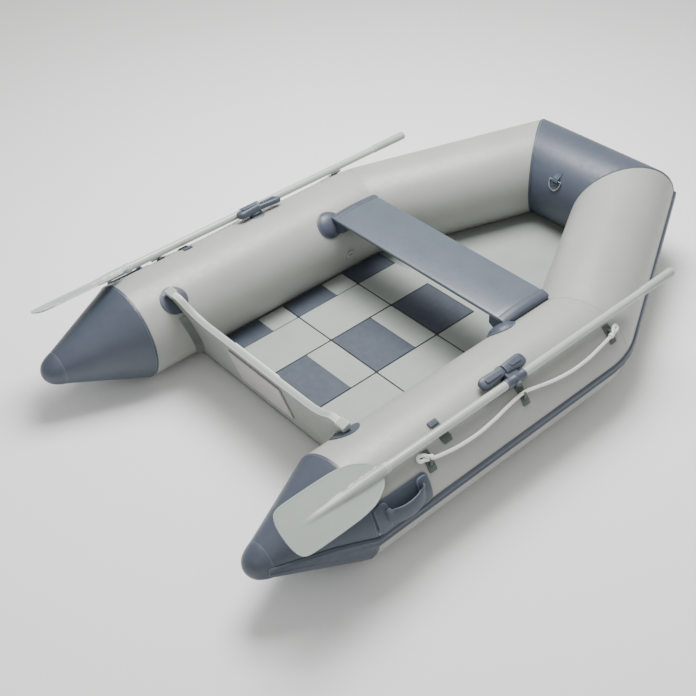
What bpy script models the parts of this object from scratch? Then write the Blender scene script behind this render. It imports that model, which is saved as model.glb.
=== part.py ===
"""Inflatable dinghy of about 2.3 m with a slatted floor, a bench seat and a pair of oars.

+X is starboard, +Y is forward and +Z is up. The origin lies on the ground under the middle
of the boat, so the buoyancy tubes rest on z = 0. Stations run forward from the seam between
the tubes and their tail cones.
"""

import math

import bmesh
import bpy
from mathutils import Matrix, Vector

# Driving dimensions in metres.
TUBE_R = 0.18
TUBE_X = 0.566
TUBE_Z = TUBE_R
SEAM_Y = -0.83
BEND = 1.1247
BEND_BLEND = 0.05
CORNER = (0.2142, 1.8152, 0.2623)
SIDES = 32
GAP = 0.0003
PATCH_GAP = 0.0008

STRAKE_ANGLES = (6.5, 4.8, 3.0, 0.9, -1.2, -3.0, -4.8)
STRAKE_HEIGHTS = (0.0020, 0.0072, 0.0085, 0.0045, 0.0085, 0.0072, 0.0020)

FLOOR_SKIN_Z = 0.040
FLOOR_SKIN_THICKNESS = 0.003
FLOOR_STATIONS = (0.244, 0.590, 0.895, 1.100)
FLOOR_COLUMNS = (-0.425, -0.140, 0.105, 0.425)
FLOOR_JOINT = 0.004
SLAT_BOTTOM = 0.0445
SLAT_TOP = 0.060

TRANSOM_STATION = 0.140
TRANSOM_TOP = 0.300
TRANSOM_RAKE = 0.31
TRANSOM_THICKNESS = 0.0225
TRANSOM_SIDE_GAP = 0.004

SEAT_STATIONS = (0.862, 1.085)
SEAT_HALF = 0.440
SEAT_TOP = 0.345
SEAT_BOARD = 0.022

OAR_RADIUS = 0.206
OAR_ANGLE = 59.4
SHAFT_R = 0.014
COLLAR_R = 0.018
PIN_STATION = 0.652
PIN_ANGLE = 71.0
TILT_HEIGHT = 0.009

LINE_R = 0.006
HARDWARE_STATIONS = {"aft": 0.250, "middle": 0.664, "forward": 1.098}
SIDE_NAMES = {1: "starboard", -1: "port"}


def clear_scene():
    """Remove what the file opened with."""
    for thing in list(bpy.data.objects):
        bpy.data.objects.remove(thing, do_unlink=True)


def material(name, colour, roughness, metallic=0.0):
    """Return a plain Principled material."""
    made = bpy.data.materials.new(name)
    made.use_nodes = True
    shader = made.node_tree.nodes["Principled BSDF"]
    shader.inputs["Base Color"].default_value = (*colour, 1.0)
    shader.inputs["Roughness"].default_value = roughness
    shader.inputs["Metallic"].default_value = metallic
    return made


def solid(name, points, faces, finish, smooth_angle=40.0):
    """Make one closed object from points and faces, with its faces pointing out."""
    mesh = bpy.data.meshes.new(name)
    mesh.from_pydata([tuple(point) for point in points], [], faces)
    shape = bmesh.new()
    shape.from_mesh(mesh)
    bmesh.ops.recalc_face_normals(shape, faces=shape.faces)
    shape.to_mesh(mesh)
    shape.free()
    mesh.materials.append(finish)
    mesh.shade_smooth()
    mesh.set_sharp_from_angle(angle=math.radians(smooth_angle))
    made = bpy.data.objects.new(name, mesh)
    bpy.context.collection.objects.link(made)
    return made


def loft(rings, capped=True):
    """Join rings of equal length into points and faces, closed at both ends."""
    count = len(rings[0])
    points = [point for ring in rings for point in ring]
    faces = []
    for row in range(len(rings) - 1):
        base = row * count
        for i in range(count):
            j = (i + 1) % count
            faces.append((base + i, base + j, base + count + j, base + count + i))
    if capped:
        faces.append(tuple(reversed(range(count))))
        last = (len(rings) - 1) * count
        faces.append(tuple(range(last, last + count)))
    return points, faces


def combine(base, *tools, operation="UNION"):
    """Apply the tools to the base as exact Booleans and drop them."""
    for tool in tools:
        cut = base.modifiers.new(tool.name, "BOOLEAN")
        cut.operation = operation
        cut.solver = "EXACT"
        cut.object = tool
    bpy.context.view_layer.update()
    evaluated = base.evaluated_get(bpy.context.evaluated_depsgraph_get())
    joined = bpy.data.meshes.new_from_object(evaluated)
    base.modifiers.clear()
    base.data = joined
    joined.shade_smooth()
    joined.set_sharp_from_angle(angle=math.radians(40.0))
    for tool in tools:
        bpy.data.objects.remove(tool, do_unlink=True)
    return base


def mirrored(points, side):
    """Put starboard points on the given side."""
    return [Vector((side * point[0], point[1], point[2])) for point in points]


# Places on and beside the tubes.


def around(angle, height=0.0):
    """Return the X and Z of a place round the starboard tube's straight stretch."""
    turn = math.radians(angle)
    reach = TUBE_R + height
    return TUBE_X + reach * math.cos(turn), TUBE_Z + reach * math.sin(turn)


def on_tube(station, angle, height=0.0):
    """Return a place on the starboard tube, at a height over its skin."""
    x, z = around(angle, height)
    return Vector((x, SEAM_Y + station, z))


def skin_frame(station, angle):
    """Return a place on the skin with its forward, upward and outward directions."""
    turn = math.radians(angle)
    upward = Vector((-math.sin(turn), 0.0, math.cos(turn)))
    outward = Vector((math.cos(turn), 0.0, math.sin(turn)))
    return on_tube(station, angle), Vector((0.0, 1.0, 0.0)), upward, outward


def in_frame(frame, along, up, out):
    """Return a place given along a skin frame's three directions."""
    origin, forward, upward, outward = frame
    return origin + forward * along + upward * up + outward * out


def centre_line():
    """Return the starboard tube's centre line, from the tail seam to the bow's corner."""
    start = Vector((TUBE_X, SEAM_Y, TUBE_Z))
    bend = Vector((TUBE_X, SEAM_Y + BEND, TUBE_Z))
    corner = Vector((CORNER[0], SEAM_Y + CORNER[1], CORNER[2]))
    before = bend - (bend - start).normalized() * BEND_BLEND
    after = bend + (corner - bend).normalized() * BEND_BLEND
    blend = [before.lerp(bend, t).lerp(bend.lerp(after, t), t) for t in (0.0, 0.35, 0.65, 1.0)]
    return [start, *blend, corner]


def carried(ring, line, first, last_direction):
    """Carry a ring along the centre line, mitred at each of its corners.

    Every point moves parallel to the run it is on, up to the plane that halves the corner.
    """
    rings = [list(ring)]
    for i in range(first, len(line) - 1):
        run = (line[i + 1] - line[i]).normalized()
        following = (line[i + 2] - line[i + 1]).normalized() if i + 2 < len(line) else last_direction
        normal = (run + following).normalized()
        moved = []
        for point in rings[-1]:
            travel = (line[i + 1] - point).dot(normal) / run.dot(normal)
            moved.append(point + run * travel)
        rings.append(moved)
    return rings


ACROSS = Vector((-1.0, 0.0, 0.0))


def seam_ring(angles, heights):
    """Return points round the tail seam, at each angle and height over the skin."""
    return [on_tube(0.0, angle, height) for angle, height in zip(angles, heights)]


def nudged(ring, direction, distance):
    """Return the ring moved bodily."""
    return [point + direction * distance for point in ring]


# The hull.


def side_tube(side, finish):
    """Build one of the two long air chambers."""
    angles = [360.0 * i / SIDES for i in range(SIDES)]
    rings = carried(seam_ring(angles, [0.0] * SIDES), centre_line(), 0, ACROSS)
    rings[0] = nudged(rings[0], Vector((0.0, 1.0, 0.0)), GAP)
    run = (rings[-1][0] - rings[-2][0]).normalized()
    rings[-1] = nudged(rings[-1], run, -GAP)
    points, faces = loft(rings)
    return solid(f"{SIDE_NAMES[side]}_tube", mirrored(points, side), faces, finish)


def bow_tube(finish):
    """Build the short chamber across the bow, between the two mitres."""
    angles = [360.0 * i / SIDES for i in range(SIDES)]
    rings = carried(seam_ring(angles, [0.0] * SIDES), centre_line(), 0, ACROSS)
    right = nudged(rings[-1], ACROSS, GAP)
    left = mirrored(right, -1)
    points, faces = loft([right, left])
    return solid("bow_tube", points, faces, finish)


TAIL_PROFILE = (
    (0.0, 1.0),
    (0.285, 0.325),
    (0.310, 0.270),
    (0.328, 0.205),
    (0.339, 0.125),
    (0.3433, 0.035),
)


def tail_radius(distance):
    """Return the tail cone's radius at a distance aft of the seam."""
    for (near, wide), (far, narrow) in zip(TAIL_PROFILE, TAIL_PROFILE[1:]):
        if distance <= far:
            part = (distance - near) / (far - near)
            return TUBE_R * (wide + (narrow - wide) * part)
    return TUBE_R * TAIL_PROFILE[-1][1]


def tail_cone(side, finish):
    """Build a tail cone with its moulded end."""
    rings = []
    for distance, _ in TAIL_PROFILE:
        radius = tail_radius(distance)
        ring = []
        for i in range(SIDES):
            turn = 2.0 * math.pi * i / SIDES
            x = TUBE_X + radius * math.cos(turn)
            z = TUBE_Z + radius * math.sin(turn)
            ring.append(Vector((x, SEAM_Y - distance, z)))
        rings.append(ring)
    rings[0] = nudged(rings[0], Vector((0.0, -1.0, 0.0)), GAP)
    points, faces = loft(rings)
    return solid(f"{SIDE_NAMES[side]}_cone", mirrored(points, side), faces, finish)


def strake_outline():
    """Return the strake's angles and heights, out over its ridges and back under it."""
    angles = list(STRAKE_ANGLES) + list(reversed(STRAKE_ANGLES))
    heights = list(STRAKE_HEIGHTS) + [PATCH_GAP] * len(STRAKE_ANGLES)
    return angles, heights


def side_strake(side, finish):
    """Build the ribbed rubbing strake along a cone and its tube."""
    angles, heights = strake_outline()
    rings = []
    for distance in (0.300, 0.285, 0.120, 0.060, 0.0):
        radius = tail_radius(distance)
        flare = min(1.0, distance / 0.120)
        spread = 1.0 + 1.4 * flare
        ring = []
        for angle, height in zip(angles, heights):
            turn = math.radians(0.9 - 7.9 * flare + (angle - 0.9) * spread)
            reach = radius + height + 0.0006
            x = TUBE_X + reach * math.cos(turn)
            z = TUBE_Z + reach * math.sin(turn)
            ring.append(Vector((x, SEAM_Y - distance, z)))
        rings.append(ring)
    along = carried(seam_ring(angles, heights), centre_line(), 0, ACROSS)
    rings.extend(along[1:])
    run = (rings[-1][0] - rings[-2][0]).normalized()
    rings[-1] = nudged(rings[-1], run, -GAP)
    points, faces = loft(rings)
    return solid(f"{SIDE_NAMES[side]}_rub_strake", mirrored(points, side), faces, finish)


def bow_strake(finish):
    """Build the strake's length across the bow."""
    angles, heights = strake_outline()
    rings = carried(seam_ring(angles, heights), centre_line(), 0, ACROSS)
    right = nudged(rings[-1], ACROSS, GAP)
    points, faces = loft([right, mirrored(right, -1)])
    return solid("bow_rub_strake", points, faces, finish)


def bottom_skin(finish):
    """Build the coated sheet between the tubes, from the transom up to the bow."""
    drop = TUBE_Z - FLOOR_SKIN_Z
    edge = TUBE_X - math.sqrt(TUBE_R**2 - drop**2)
    start = Vector((edge, SEAM_Y, FLOOR_SKIN_Z))
    places = [ring[0] for ring in carried([start], centre_line(), 0, ACROSS)]
    places[0] = Vector((edge, SEAM_Y + 0.215, FLOOR_SKIN_Z))
    inset = 0.0050
    rings = []
    for place in places:
        x = place.x - inset
        y = place.y
        low = place.z
        high = place.z + FLOOR_SKIN_THICKNESS
        if place is places[-1]:
            y -= inset
        rings.append([Vector((x, y, low)), Vector((x, y, high)), Vector((-x, y, high)), Vector((-x, y, low))])
    points, faces = loft(rings)
    return solid("bottom_skin", points, faces, finish)


def box(name, low, high, finish):
    """Build a block between two corners."""
    lower = [(low[0], low[1]), (high[0], low[1]), (high[0], high[1]), (low[0], high[1])]
    rings = [[Vector((x, y, z)) for x, y in lower] for z in (low[2], high[2])]
    points, faces = loft(rings)
    return solid(name, points, faces, finish)


def floor_slats(light, dark):
    """Build the boards in their fabric pockets, three columns in three rows."""
    rows = ("aft", "middle", "forward")
    columns = (("port", light), ("centre", dark), ("starboard", light))
    half = 0.5 * FLOOR_JOINT
    for row, (near, far) in zip(rows, zip(FLOOR_STATIONS, FLOOR_STATIONS[1:])):
        for (column, finish), (left, right) in zip(columns, zip(FLOOR_COLUMNS, FLOOR_COLUMNS[1:])):
            low = (left + half, SEAM_Y + near + half, SLAT_BOTTOM)
            high = (right - half, SEAM_Y + far - half, SLAT_TOP)
            box(f"floor_slat_{row}_{column}", low, high, finish)


# The transom.


def transom_station(z):
    """Return the station of the transom's aft face at a height."""
    return TRANSOM_STATION + (TRANSOM_TOP - z) * TRANSOM_RAKE


def upright_plate(name, outline, thickness, setback, finish):
    """Build a plate parallel to the transom, from its outline across and up the boat."""
    rings = []
    for offset in (0.0, thickness):
        ring = [Vector((x, SEAM_Y + transom_station(z) + setback + offset, z)) for x, z in outline]
        rings.append(ring)
    points, faces = loft(rings)
    return solid(name, points, faces, finish)


def transom_outline():
    """Return the transom's outline, hollowed round both tubes and eared over them."""
    reach = TRANSOM_SIDE_GAP
    hollow = [around(angle, reach) for angle in range(227, 121, -5)]
    shoulder = [(0.462, 0.352), (0.402, 0.352), (0.372, 0.333), (0.325, 0.308), (0.265, 0.296)]
    half = [*hollow, *shoulder]
    return half + [(-x, z) for x, z in reversed(half)]


def transom(board, pad, holder_finish, patch_finish):
    """Build the transom board with its pads, holders and tube patches."""
    upright_plate("transom_board", transom_outline(), TRANSOM_THICKNESS, 0.0, board)
    outer = [(-0.150, 0.108), (0.125, 0.108), (0.125, 0.268), (-0.150, 0.268)]
    upright_plate("outer_motor_pad", outer, 0.008, -0.008 - GAP, pad)
    inner = [(-0.130, 0.170), (0.105, 0.170), (0.105, 0.290), (-0.130, 0.290)]
    upright_plate("inner_motor_pad", inner, 0.006, TRANSOM_THICKNESS + GAP, pad)
    for side in SIDE_NAMES:
        transom_holder(side, holder_finish)
        frame_pad(
            f"{SIDE_NAMES[side]}_transom_patch",
            side, 0.142, 131.0, ellipse(0.052, 0.052, 20),
            ((1.0, 0.0006), (0.93, 0.0022), (0.5, 0.0024)), patch_finish,
        )


def transom_holder(side, finish):
    """Build the rubber moulding that beds a transom edge on its tube."""
    rings = []
    for angle in range(152, 226, 8):
        ring = []
        for height, aft in ((PATCH_GAP, 0.030), (PATCH_GAP, 0.0), (0.012, 0.0), (0.005, 0.026)):
            x, z = around(angle, height)
            ring.append(Vector((x, SEAM_Y + transom_station(z) - GAP - aft, z)))
        rings.append(ring)
    points, faces = loft(rings)
    return solid(f"{SIDE_NAMES[side]}_transom_holder", mirrored(points, side), faces, finish)


# Pads and fittings bonded to the tubes.


def ellipse(half_length, half_width, count):
    """Return an ellipse's outline."""
    turns = [2.0 * math.pi * i / count for i in range(count)]
    return [(half_length * math.cos(turn), half_width * math.sin(turn)) for turn in turns]


def rounded_rectangle(half_length, half_width, corner, steps=3, longest=0.018):
    """Return a rectangle's outline with round corners, its sides split to lie round a tube."""
    outline = []
    for quarter, (sign_x, sign_y) in enumerate(((1, 1), (-1, 1), (-1, -1), (1, -1))):
        for i in range(steps + 1):
            turn = 0.5 * math.pi * (quarter + i / steps)
            x = sign_x * (half_length - corner) + corner * math.cos(turn)
            y = sign_y * (half_width - corner) + corner * math.sin(turn)
            outline.append((x, y))
    split = []
    for (x, y), (next_x, next_y) in zip(outline, outline[1:] + outline[:1]):
        parts = max(1, math.ceil(abs(next_y - y) / longest))
        split.extend((x + (next_x - x) * i / parts, y + (next_y - y) * i / parts) for i in range(parts))
    return split


def frame_pad(name, side, station, angle, outline, layers, finish):
    """Build a pad that lies on a tube's skin, with its top stepped inwards in layers.

    Each layer gives a share of the outline and the height over the pad's underside.
    """

    def wrapped(along, up, height):
        return on_tube(station + along, angle + math.degrees(up / TUBE_R), PATCH_GAP + height)

    rings = [[wrapped(0.5 * u, 0.5 * v, 0.0) for u, v in outline]]
    rings.append([wrapped(u, v, 0.0) for u, v in outline])
    for share, height in layers:
        rings.append([wrapped(share * u, share * v, height) for u, v in outline])
    points, faces = loft(rings, capped=False)
    count = len(outline)
    points.append(wrapped(0.0, 0.0, 0.0))
    points.append(wrapped(0.0, 0.0, layers[-1][1]))
    last = (len(rings) - 1) * count
    for i in range(count):
        j = (i + 1) % count
        faces.append((len(points) - 2, j, i))
        faces.append((len(points) - 1, last + i, last + j))
    return solid(name, mirrored(points, side), faces, finish)


def swept(name, path, widths, facing, finish, count=8):
    """Build a bar along a path, each section an ellipse across the run.

    widths gives the half width along facing and across it at each point.
    """
    rings = []
    for i, place in enumerate(path):
        before = path[max(i - 1, 0)]
        after = path[min(i + 1, len(path) - 1)]
        run = (after - before).normalized()
        side_way = run.cross(facing).normalized()
        face_way = side_way.cross(run).normalized()
        tall, wide = widths[i]
        ring = []
        for step in range(count):
            turn = 2.0 * math.pi * step / count
            ring.append(place + face_way * (tall * math.cos(turn)) + side_way * (wide * math.sin(turn)))
        rings.append(ring)
    points, faces = loft(rings)
    return solid(name, points, faces, finish)


def carry_handle(side, finish):
    """Build a moulded carrying handle with its bowed grip standing off the patch."""
    station, angle = 0.121, 26.0
    outline = rounded_rectangle(0.103, 0.040, 0.030)
    layers = ((1.0, 0.0012), (0.94, 0.0032), (0.5, 0.0034))
    base = frame_pad(f"{SIDE_NAMES[side]}_carry_handle", 1, station, angle, outline, layers, finish)
    frame = skin_frame(station, angle)
    steps = 12
    reach, foot = 0.078, 0.0028
    path = [in_frame(frame, reach, 0.004, foot)]
    widths = [(0.0135, 0.0075)]
    for i in range(steps + 1):
        turn = math.pi * i / steps
        bow = math.sin(turn)
        path.append(in_frame(frame, reach * math.cos(turn), 0.004 - 0.016 * bow, 0.0095 + 0.0240 * bow**0.8))
        widths.append((0.0135 - 0.004 * bow, 0.0075))
    path.append(in_frame(frame, -reach, 0.004, foot))
    widths.append(widths[0])
    grip = swept("grip", path, widths, frame[2], finish, count=10)
    handle = combine(base, grip)
    if side < 0:
        flip(handle)
    return handle


def flip(thing):
    """Mirror a finished object's mesh to the port side."""
    thing.data.transform(Matrix.Scale(-1.0, 4, Vector((1.0, 0.0, 0.0))))
    thing.data.flip_normals()


def seat_mount(side, finish):
    """Build a domed pad with the tongue that carries the seat board's end."""
    layers = ((1.0, 0.001), (0.90, 0.0045), (0.60, 0.0075), (0.3, 0.0085))
    pad = frame_pad(f"{SIDE_NAMES[side]}_seat_mount", 1, 0.858, 136.0, ellipse(0.052, 0.052, 20), layers, finish)
    underside = SEAT_TOP - SEAT_BOARD - GAP
    resting = [around(angle, 0.0022) for angle in range(130, 153, 4)]
    outline = [*resting, (0.372, 0.292), (0.372, underside), (resting[0][0] - 0.004, underside)]
    rings = [[Vector((x, SEAM_Y + station, z)) for x, z in outline] for station in (0.8655, 0.905)]
    tongue = solid("tongue", *loft(rings), finish)
    mount = combine(pad, tongue)
    if side < 0:
        flip(mount)
    return mount


def seat_board(finish):
    """Build the bench across the boat with eased long edges."""
    near, far = SEAT_STATIONS
    bottom = SEAT_TOP - SEAT_BOARD
    ease = 0.006
    profile = [
        (near + ease, bottom), (near, bottom + ease), (near, SEAT_TOP - 1.6 * ease),
        (near + 1.6 * ease, SEAT_TOP), (far - 1.6 * ease, SEAT_TOP), (far, SEAT_TOP - 1.6 * ease),
        (far, bottom + ease), (far - ease, bottom),
    ]
    rings = [[Vector((x, SEAM_Y + station, z)) for station, z in profile] for x in (SEAT_HALF, -SEAT_HALF)]
    points, faces = loft(rings)
    return solid("seat_board", points, faces, finish)


# The rowlocks and oars.


def round_bar(name, start, end, radius, finish, count=16, tip=None):
    """Build a round bar between two places, tapering to a second radius if given."""
    run = (end - start).normalized()
    first = run.orthogonal().normalized() if abs(run.y) < 0.9 else Vector((1.0, 0.0, 0.0))
    second = run.cross(first).normalized()
    first = second.cross(run).normalized()
    rings = []
    for place, reach in ((start, radius), (end, tip or radius)):
        ring = []
        for i in range(count):
            turn = 2.0 * math.pi * i / count
            ring.append(place + first * (reach * math.cos(turn)) + second * (reach * math.sin(turn)))
        rings.append(ring)
    points, faces = loft(rings)
    return solid(name, points, faces, finish)


def block(name, frame, low, high, finish):
    """Build a block in a skin frame, from its low to its high corner."""
    rings = []
    for out in (low[2], high[2]):
        flat = ((low[0], low[1]), (high[0], low[1]), (high[0], high[1]), (low[0], high[1]))
        rings.append([in_frame(frame, along, up, out) for along, up in flat])
    points, faces = loft(rings)
    return solid(name, points, faces, finish)


def rowlock(side, finish, pin_finish):
    """Build the bonded base, the rocking saddle, the swivelling head and its collar."""
    name = SIDE_NAMES[side]
    frame = skin_frame(PIN_STATION, PIN_ANGLE)
    layers = ((1.0, 0.001), (0.92, 0.0025), (0.5, 0.0027))
    base = frame_pad(f"{name}_rowlock_base", 1, PIN_STATION, PIN_ANGLE, ellipse(0.032, 0.032, 20), layers, finish)
    cheeks = [
        block(f"cheek_{end}", frame, (near, -0.008, 0.0020), (far, 0.008, 0.0125), finish)
        for end, near, far in (("aft", -0.0230, -0.0180), ("forward", 0.0180, 0.0230))
    ]
    base = combine(base, *cheeks)

    roller_ends = [in_frame(frame, along, 0.0, TILT_HEIGHT) for along in (-0.0176, 0.0176)]
    saddle = round_bar(f"{name}_rowlock_saddle", *roller_ends, 0.0045, pin_finish, count=12)
    pin = round_bar(
        "pin", in_frame(frame, 0.0, 0.0, TILT_HEIGHT), in_frame(frame, 0.0, 0.0, 0.033), 0.0075, pin_finish, 12
    )
    saddle = combine(saddle, pin)

    head = rowlock_head(f"{name}_rowlock_head", frame, finish)
    bore = round_bar(
        "bore", in_frame(frame, 0.0, 0.0, 0.005), in_frame(frame, 0.0, 0.0, 0.0345), 0.0079, finish, 12
    )
    head = combine(head, bore, operation="DIFFERENCE")

    collar = oar_collar(f"{name}_oar_collar", finish)
    for piece in (base, saddle, head, collar):
        if side < 0:
            flip(piece)


def rowlock_head(name, frame, finish):
    """Build the head as a long moulded pod with round ends, on the pin's line."""
    length, width, low, high = 0.096, 0.0212, 0.0150, 0.0450
    behind = 0.018
    rings = []
    steps = 8
    count = 14
    for i in range(steps + 1):
        share = -math.cos(math.pi * i / steps)
        size = (1.0 - abs(share) ** 3.2) ** 0.45 if abs(share) < 1.0 else 0.0
        size = max(size, 0.22)
        ring = []
        for step in range(count):
            turn = 2.0 * math.pi * step / count
            up = width * size * math.cos(turn)
            middle = 0.5 * (low + high)
            out = middle + 0.5 * (high - low) * size * math.sin(turn)
            ring.append(in_frame(frame, length * share - behind, up, out))
        rings.append(ring)
    points, faces = loft(rings)
    return solid(name, points, faces, finish)


def oar_centre(station, inward=0.0):
    """Return a place on the starboard oar's axis as it lies stowed."""
    return on_tube(station, OAR_ANGLE, OAR_RADIUS - TUBE_R - inward)


def oar_collar(name, finish):
    """Build the sleeve round the oar, with a lug towards the head."""
    near, far = PIN_STATION - 0.037, PIN_STATION + 0.037
    sleeve = round_bar(name, oar_centre(near), oar_centre(far), COLLAR_R, finish)
    bore = round_bar("bore", oar_centre(near - 0.01), oar_centre(far + 0.01), SHAFT_R + 0.0005, finish)
    return combine(sleeve, bore, operation="DIFFERENCE")


def blade_section(station):
    """Return the blade's half width, half thickness, rib height and rib width at a station."""
    outline = (
        (0.110, 0.0160), (0.082, 0.0162), (0.074, 0.030), (0.046, 0.052), (0.005, 0.070),
        (-0.060, 0.078), (-0.180, 0.079), (-0.235, 0.077), (-0.256, 0.066), (-0.266, 0.045),
    )
    for (high, wide), (low, narrow) in zip(outline, outline[1:]):
        if station >= low - 1e-9:
            part = (high - station) / (high - low)
            half = wide + (narrow - wide) * part
            break
    rib = 0.0155 * min(1.0, max(0.0, (station + 0.240) / 0.24))
    return half, 0.0022, rib


def oar(side, shaft_finish, blade_finish, grip_finish):
    """Build an oar stowed along its tube: shaft, blade and grip."""
    name = SIDE_NAMES[side]
    grip_start, grip_end = 1.302, 1.469
    socket = 0.110
    shaft = round_bar(
        f"{name}_oar_shaft", oar_centre(socket + GAP), oar_centre(grip_start - GAP), SHAFT_R, shaft_finish
    )
    frame = skin_frame(0.0, OAR_ANGLE)
    lift = OAR_RADIUS - TUBE_R
    stations = (0.110, 0.082, 0.074, 0.046, 0.005, -0.060, -0.120, -0.180, -0.235, -0.256, -0.266)
    shares = (1.0, 0.86, 0.62, 0.34, 0.17, 0.08, 0.0)
    rings = []
    for station in stations:
        half, thin, rib = blade_section(station)
        ring = []
        upper = [(share * half, share) for share in shares] + [(-s * half, s) for s in reversed(shares[:-1])]
        for across, share in upper:
            swell = rib * math.sqrt(max(0.0, 1.0 - (across / 0.0162) ** 2))
            height = max(thin * (1.0 - share**6) ** 0.5, swell) if share < 1.0 else 0.0
            ring.append(in_frame(frame, station, across, lift + height))
        for across, share in reversed(upper[1:-1]):
            swell = rib * math.sqrt(max(0.0, 1.0 - (across / 0.0162) ** 2))
            height = max(thin * (1.0 - share**6) ** 0.5, swell)
            ring.append(in_frame(frame, station, across, lift - height))
        rings.append(ring)
    points, faces = loft(rings)
    blade = solid(f"{name}_oar_blade", points, faces, blade_finish)
    grip = round_bar(
        f"{name}_oar_grip", oar_centre(grip_start), oar_centre(grip_end), 0.0140, grip_finish, tip=0.0160
    )
    for piece in (shaft, blade, grip):
        if side < 0:
            flip(piece)


# Lines, patches, valves and the bow ring.

LINE_ROUTE = (
    (0.226, 47.0, 0.0105),
    (0.250, 44.5, 0.0110),
    (0.300, 41.0, 0.0080),
    (0.370, 38.2, 0.0075),
    (0.450, 37.6, 0.0075),
    (0.530, 39.8, 0.0075),
    (0.600, 43.0, 0.0080),
    (0.664, 44.8, 0.0110),
    (0.725, 41.5, 0.0080),
    (0.800, 37.0, 0.0075),
    (0.880, 34.4, 0.0075),
    (0.960, 34.8, 0.0075),
    (1.030, 37.6, 0.0080),
    (1.098, 41.2, 0.0110),
    (1.122, 43.0, 0.0105),
)


def smooth_route(places, steps):
    """Return a smooth curve through the places, as a Catmull-Rom chain."""
    padded = [places[0] * 2.0 - places[1], *places, places[-1] * 2.0 - places[-2]]
    curve = []
    for i in range(1, len(padded) - 2):
        a, b, c, d = padded[i - 1 : i + 3]
        for step in range(steps):
            t = step / steps
            curve.append(
                0.5 * (b * 2.0 + (c - a) * t + (a * 2.0 - b * 5.0 + c * 4.0 - d) * t**2
                       + (b * 3.0 - a - c * 3.0 + d) * t**3)
            )
    curve.append(places[-1])
    return curve


def grab_line(side, finish):
    """Build the rope that runs through its three straps in two shallow swags."""
    places = mirrored([on_tube(*place) for place in LINE_ROUTE], side)
    route = smooth_route(places, 3)
    curve = bpy.data.curves.new(f"{SIDE_NAMES[side]}_grab_line", "CURVE")
    curve.dimensions = "3D"
    spline = curve.splines.new("POLY")
    spline.points.add(len(route) - 1)
    for point, place in zip(spline.points, route):
        point.co = (*place, 1.0)
    curve.bevel_depth = LINE_R
    curve.bevel_resolution = 2
    curve.use_fill_caps = True
    curve.materials.append(finish)
    made = bpy.data.objects.new(f"{SIDE_NAMES[side]}_grab_line", curve)
    bpy.context.collection.objects.link(made)


def line_patches(side, finish):
    """Build the three webbing patches that the grab line is clipped to."""
    layers = ((1.0, 0.0012), (0.9, 0.0018))
    for place, station in HARDWARE_STATIONS.items():
        angle = 42.6
        outline = rounded_rectangle(0.0155, 0.034, 0.003, 1)
        frame_pad(f"{SIDE_NAMES[side]}_line_patch_{place}", side, station, angle, outline, layers, finish)


def oar_holder(side, finish):
    """Build the strap patch that the stowed oar lies across."""
    outline = rounded_rectangle(0.0165, 0.034, 0.003, 1)
    layers = ((1.0, 0.0014), (0.9, 0.0022))
    frame_pad(f"{SIDE_NAMES[side]}_oar_holder", side, 0.338, 60.5, outline, layers, finish)


def valve(side, ring_finish, cap_finish):
    """Build an inflation valve's flange and its quarter-turn cap, on the tube's inner side."""
    station, angle = 0.903, 183.5
    name = SIDE_NAMES[side]
    layers = ((1.0, 0.001), (0.92, 0.003), (0.74, 0.0032))
    frame_pad(f"{name}_valve", side, station, angle, ellipse(0.026, 0.026, 18), layers, ring_finish)
    frame = skin_frame(station, angle)
    low = in_frame(frame, 0.0, 0.0, 0.0044)
    high = in_frame(frame, 0.0, 0.0, 0.0095)
    disc = round_bar(f"{name}_valve_cap", low, high, 0.0175, cap_finish, 18)
    bar = block("bar", frame, (-0.014, -0.0028, 0.0080), (0.014, 0.0028, 0.0135), cap_finish)
    cap = combine(disc, bar)
    if side < 0:
        flip(cap)


def bow_place(angle, height, x=0.0):
    """Return a place on the bow tube, the angle measured up from forward."""
    turn = math.radians(angle)
    reach = TUBE_R + height
    y = SEAM_Y + CORNER[1] + reach * math.cos(turn)
    return Vector((x, y, CORNER[2] + reach * math.sin(turn)))


RING_ANGLE = 151.5
RING_WIRE = 0.0025


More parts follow.
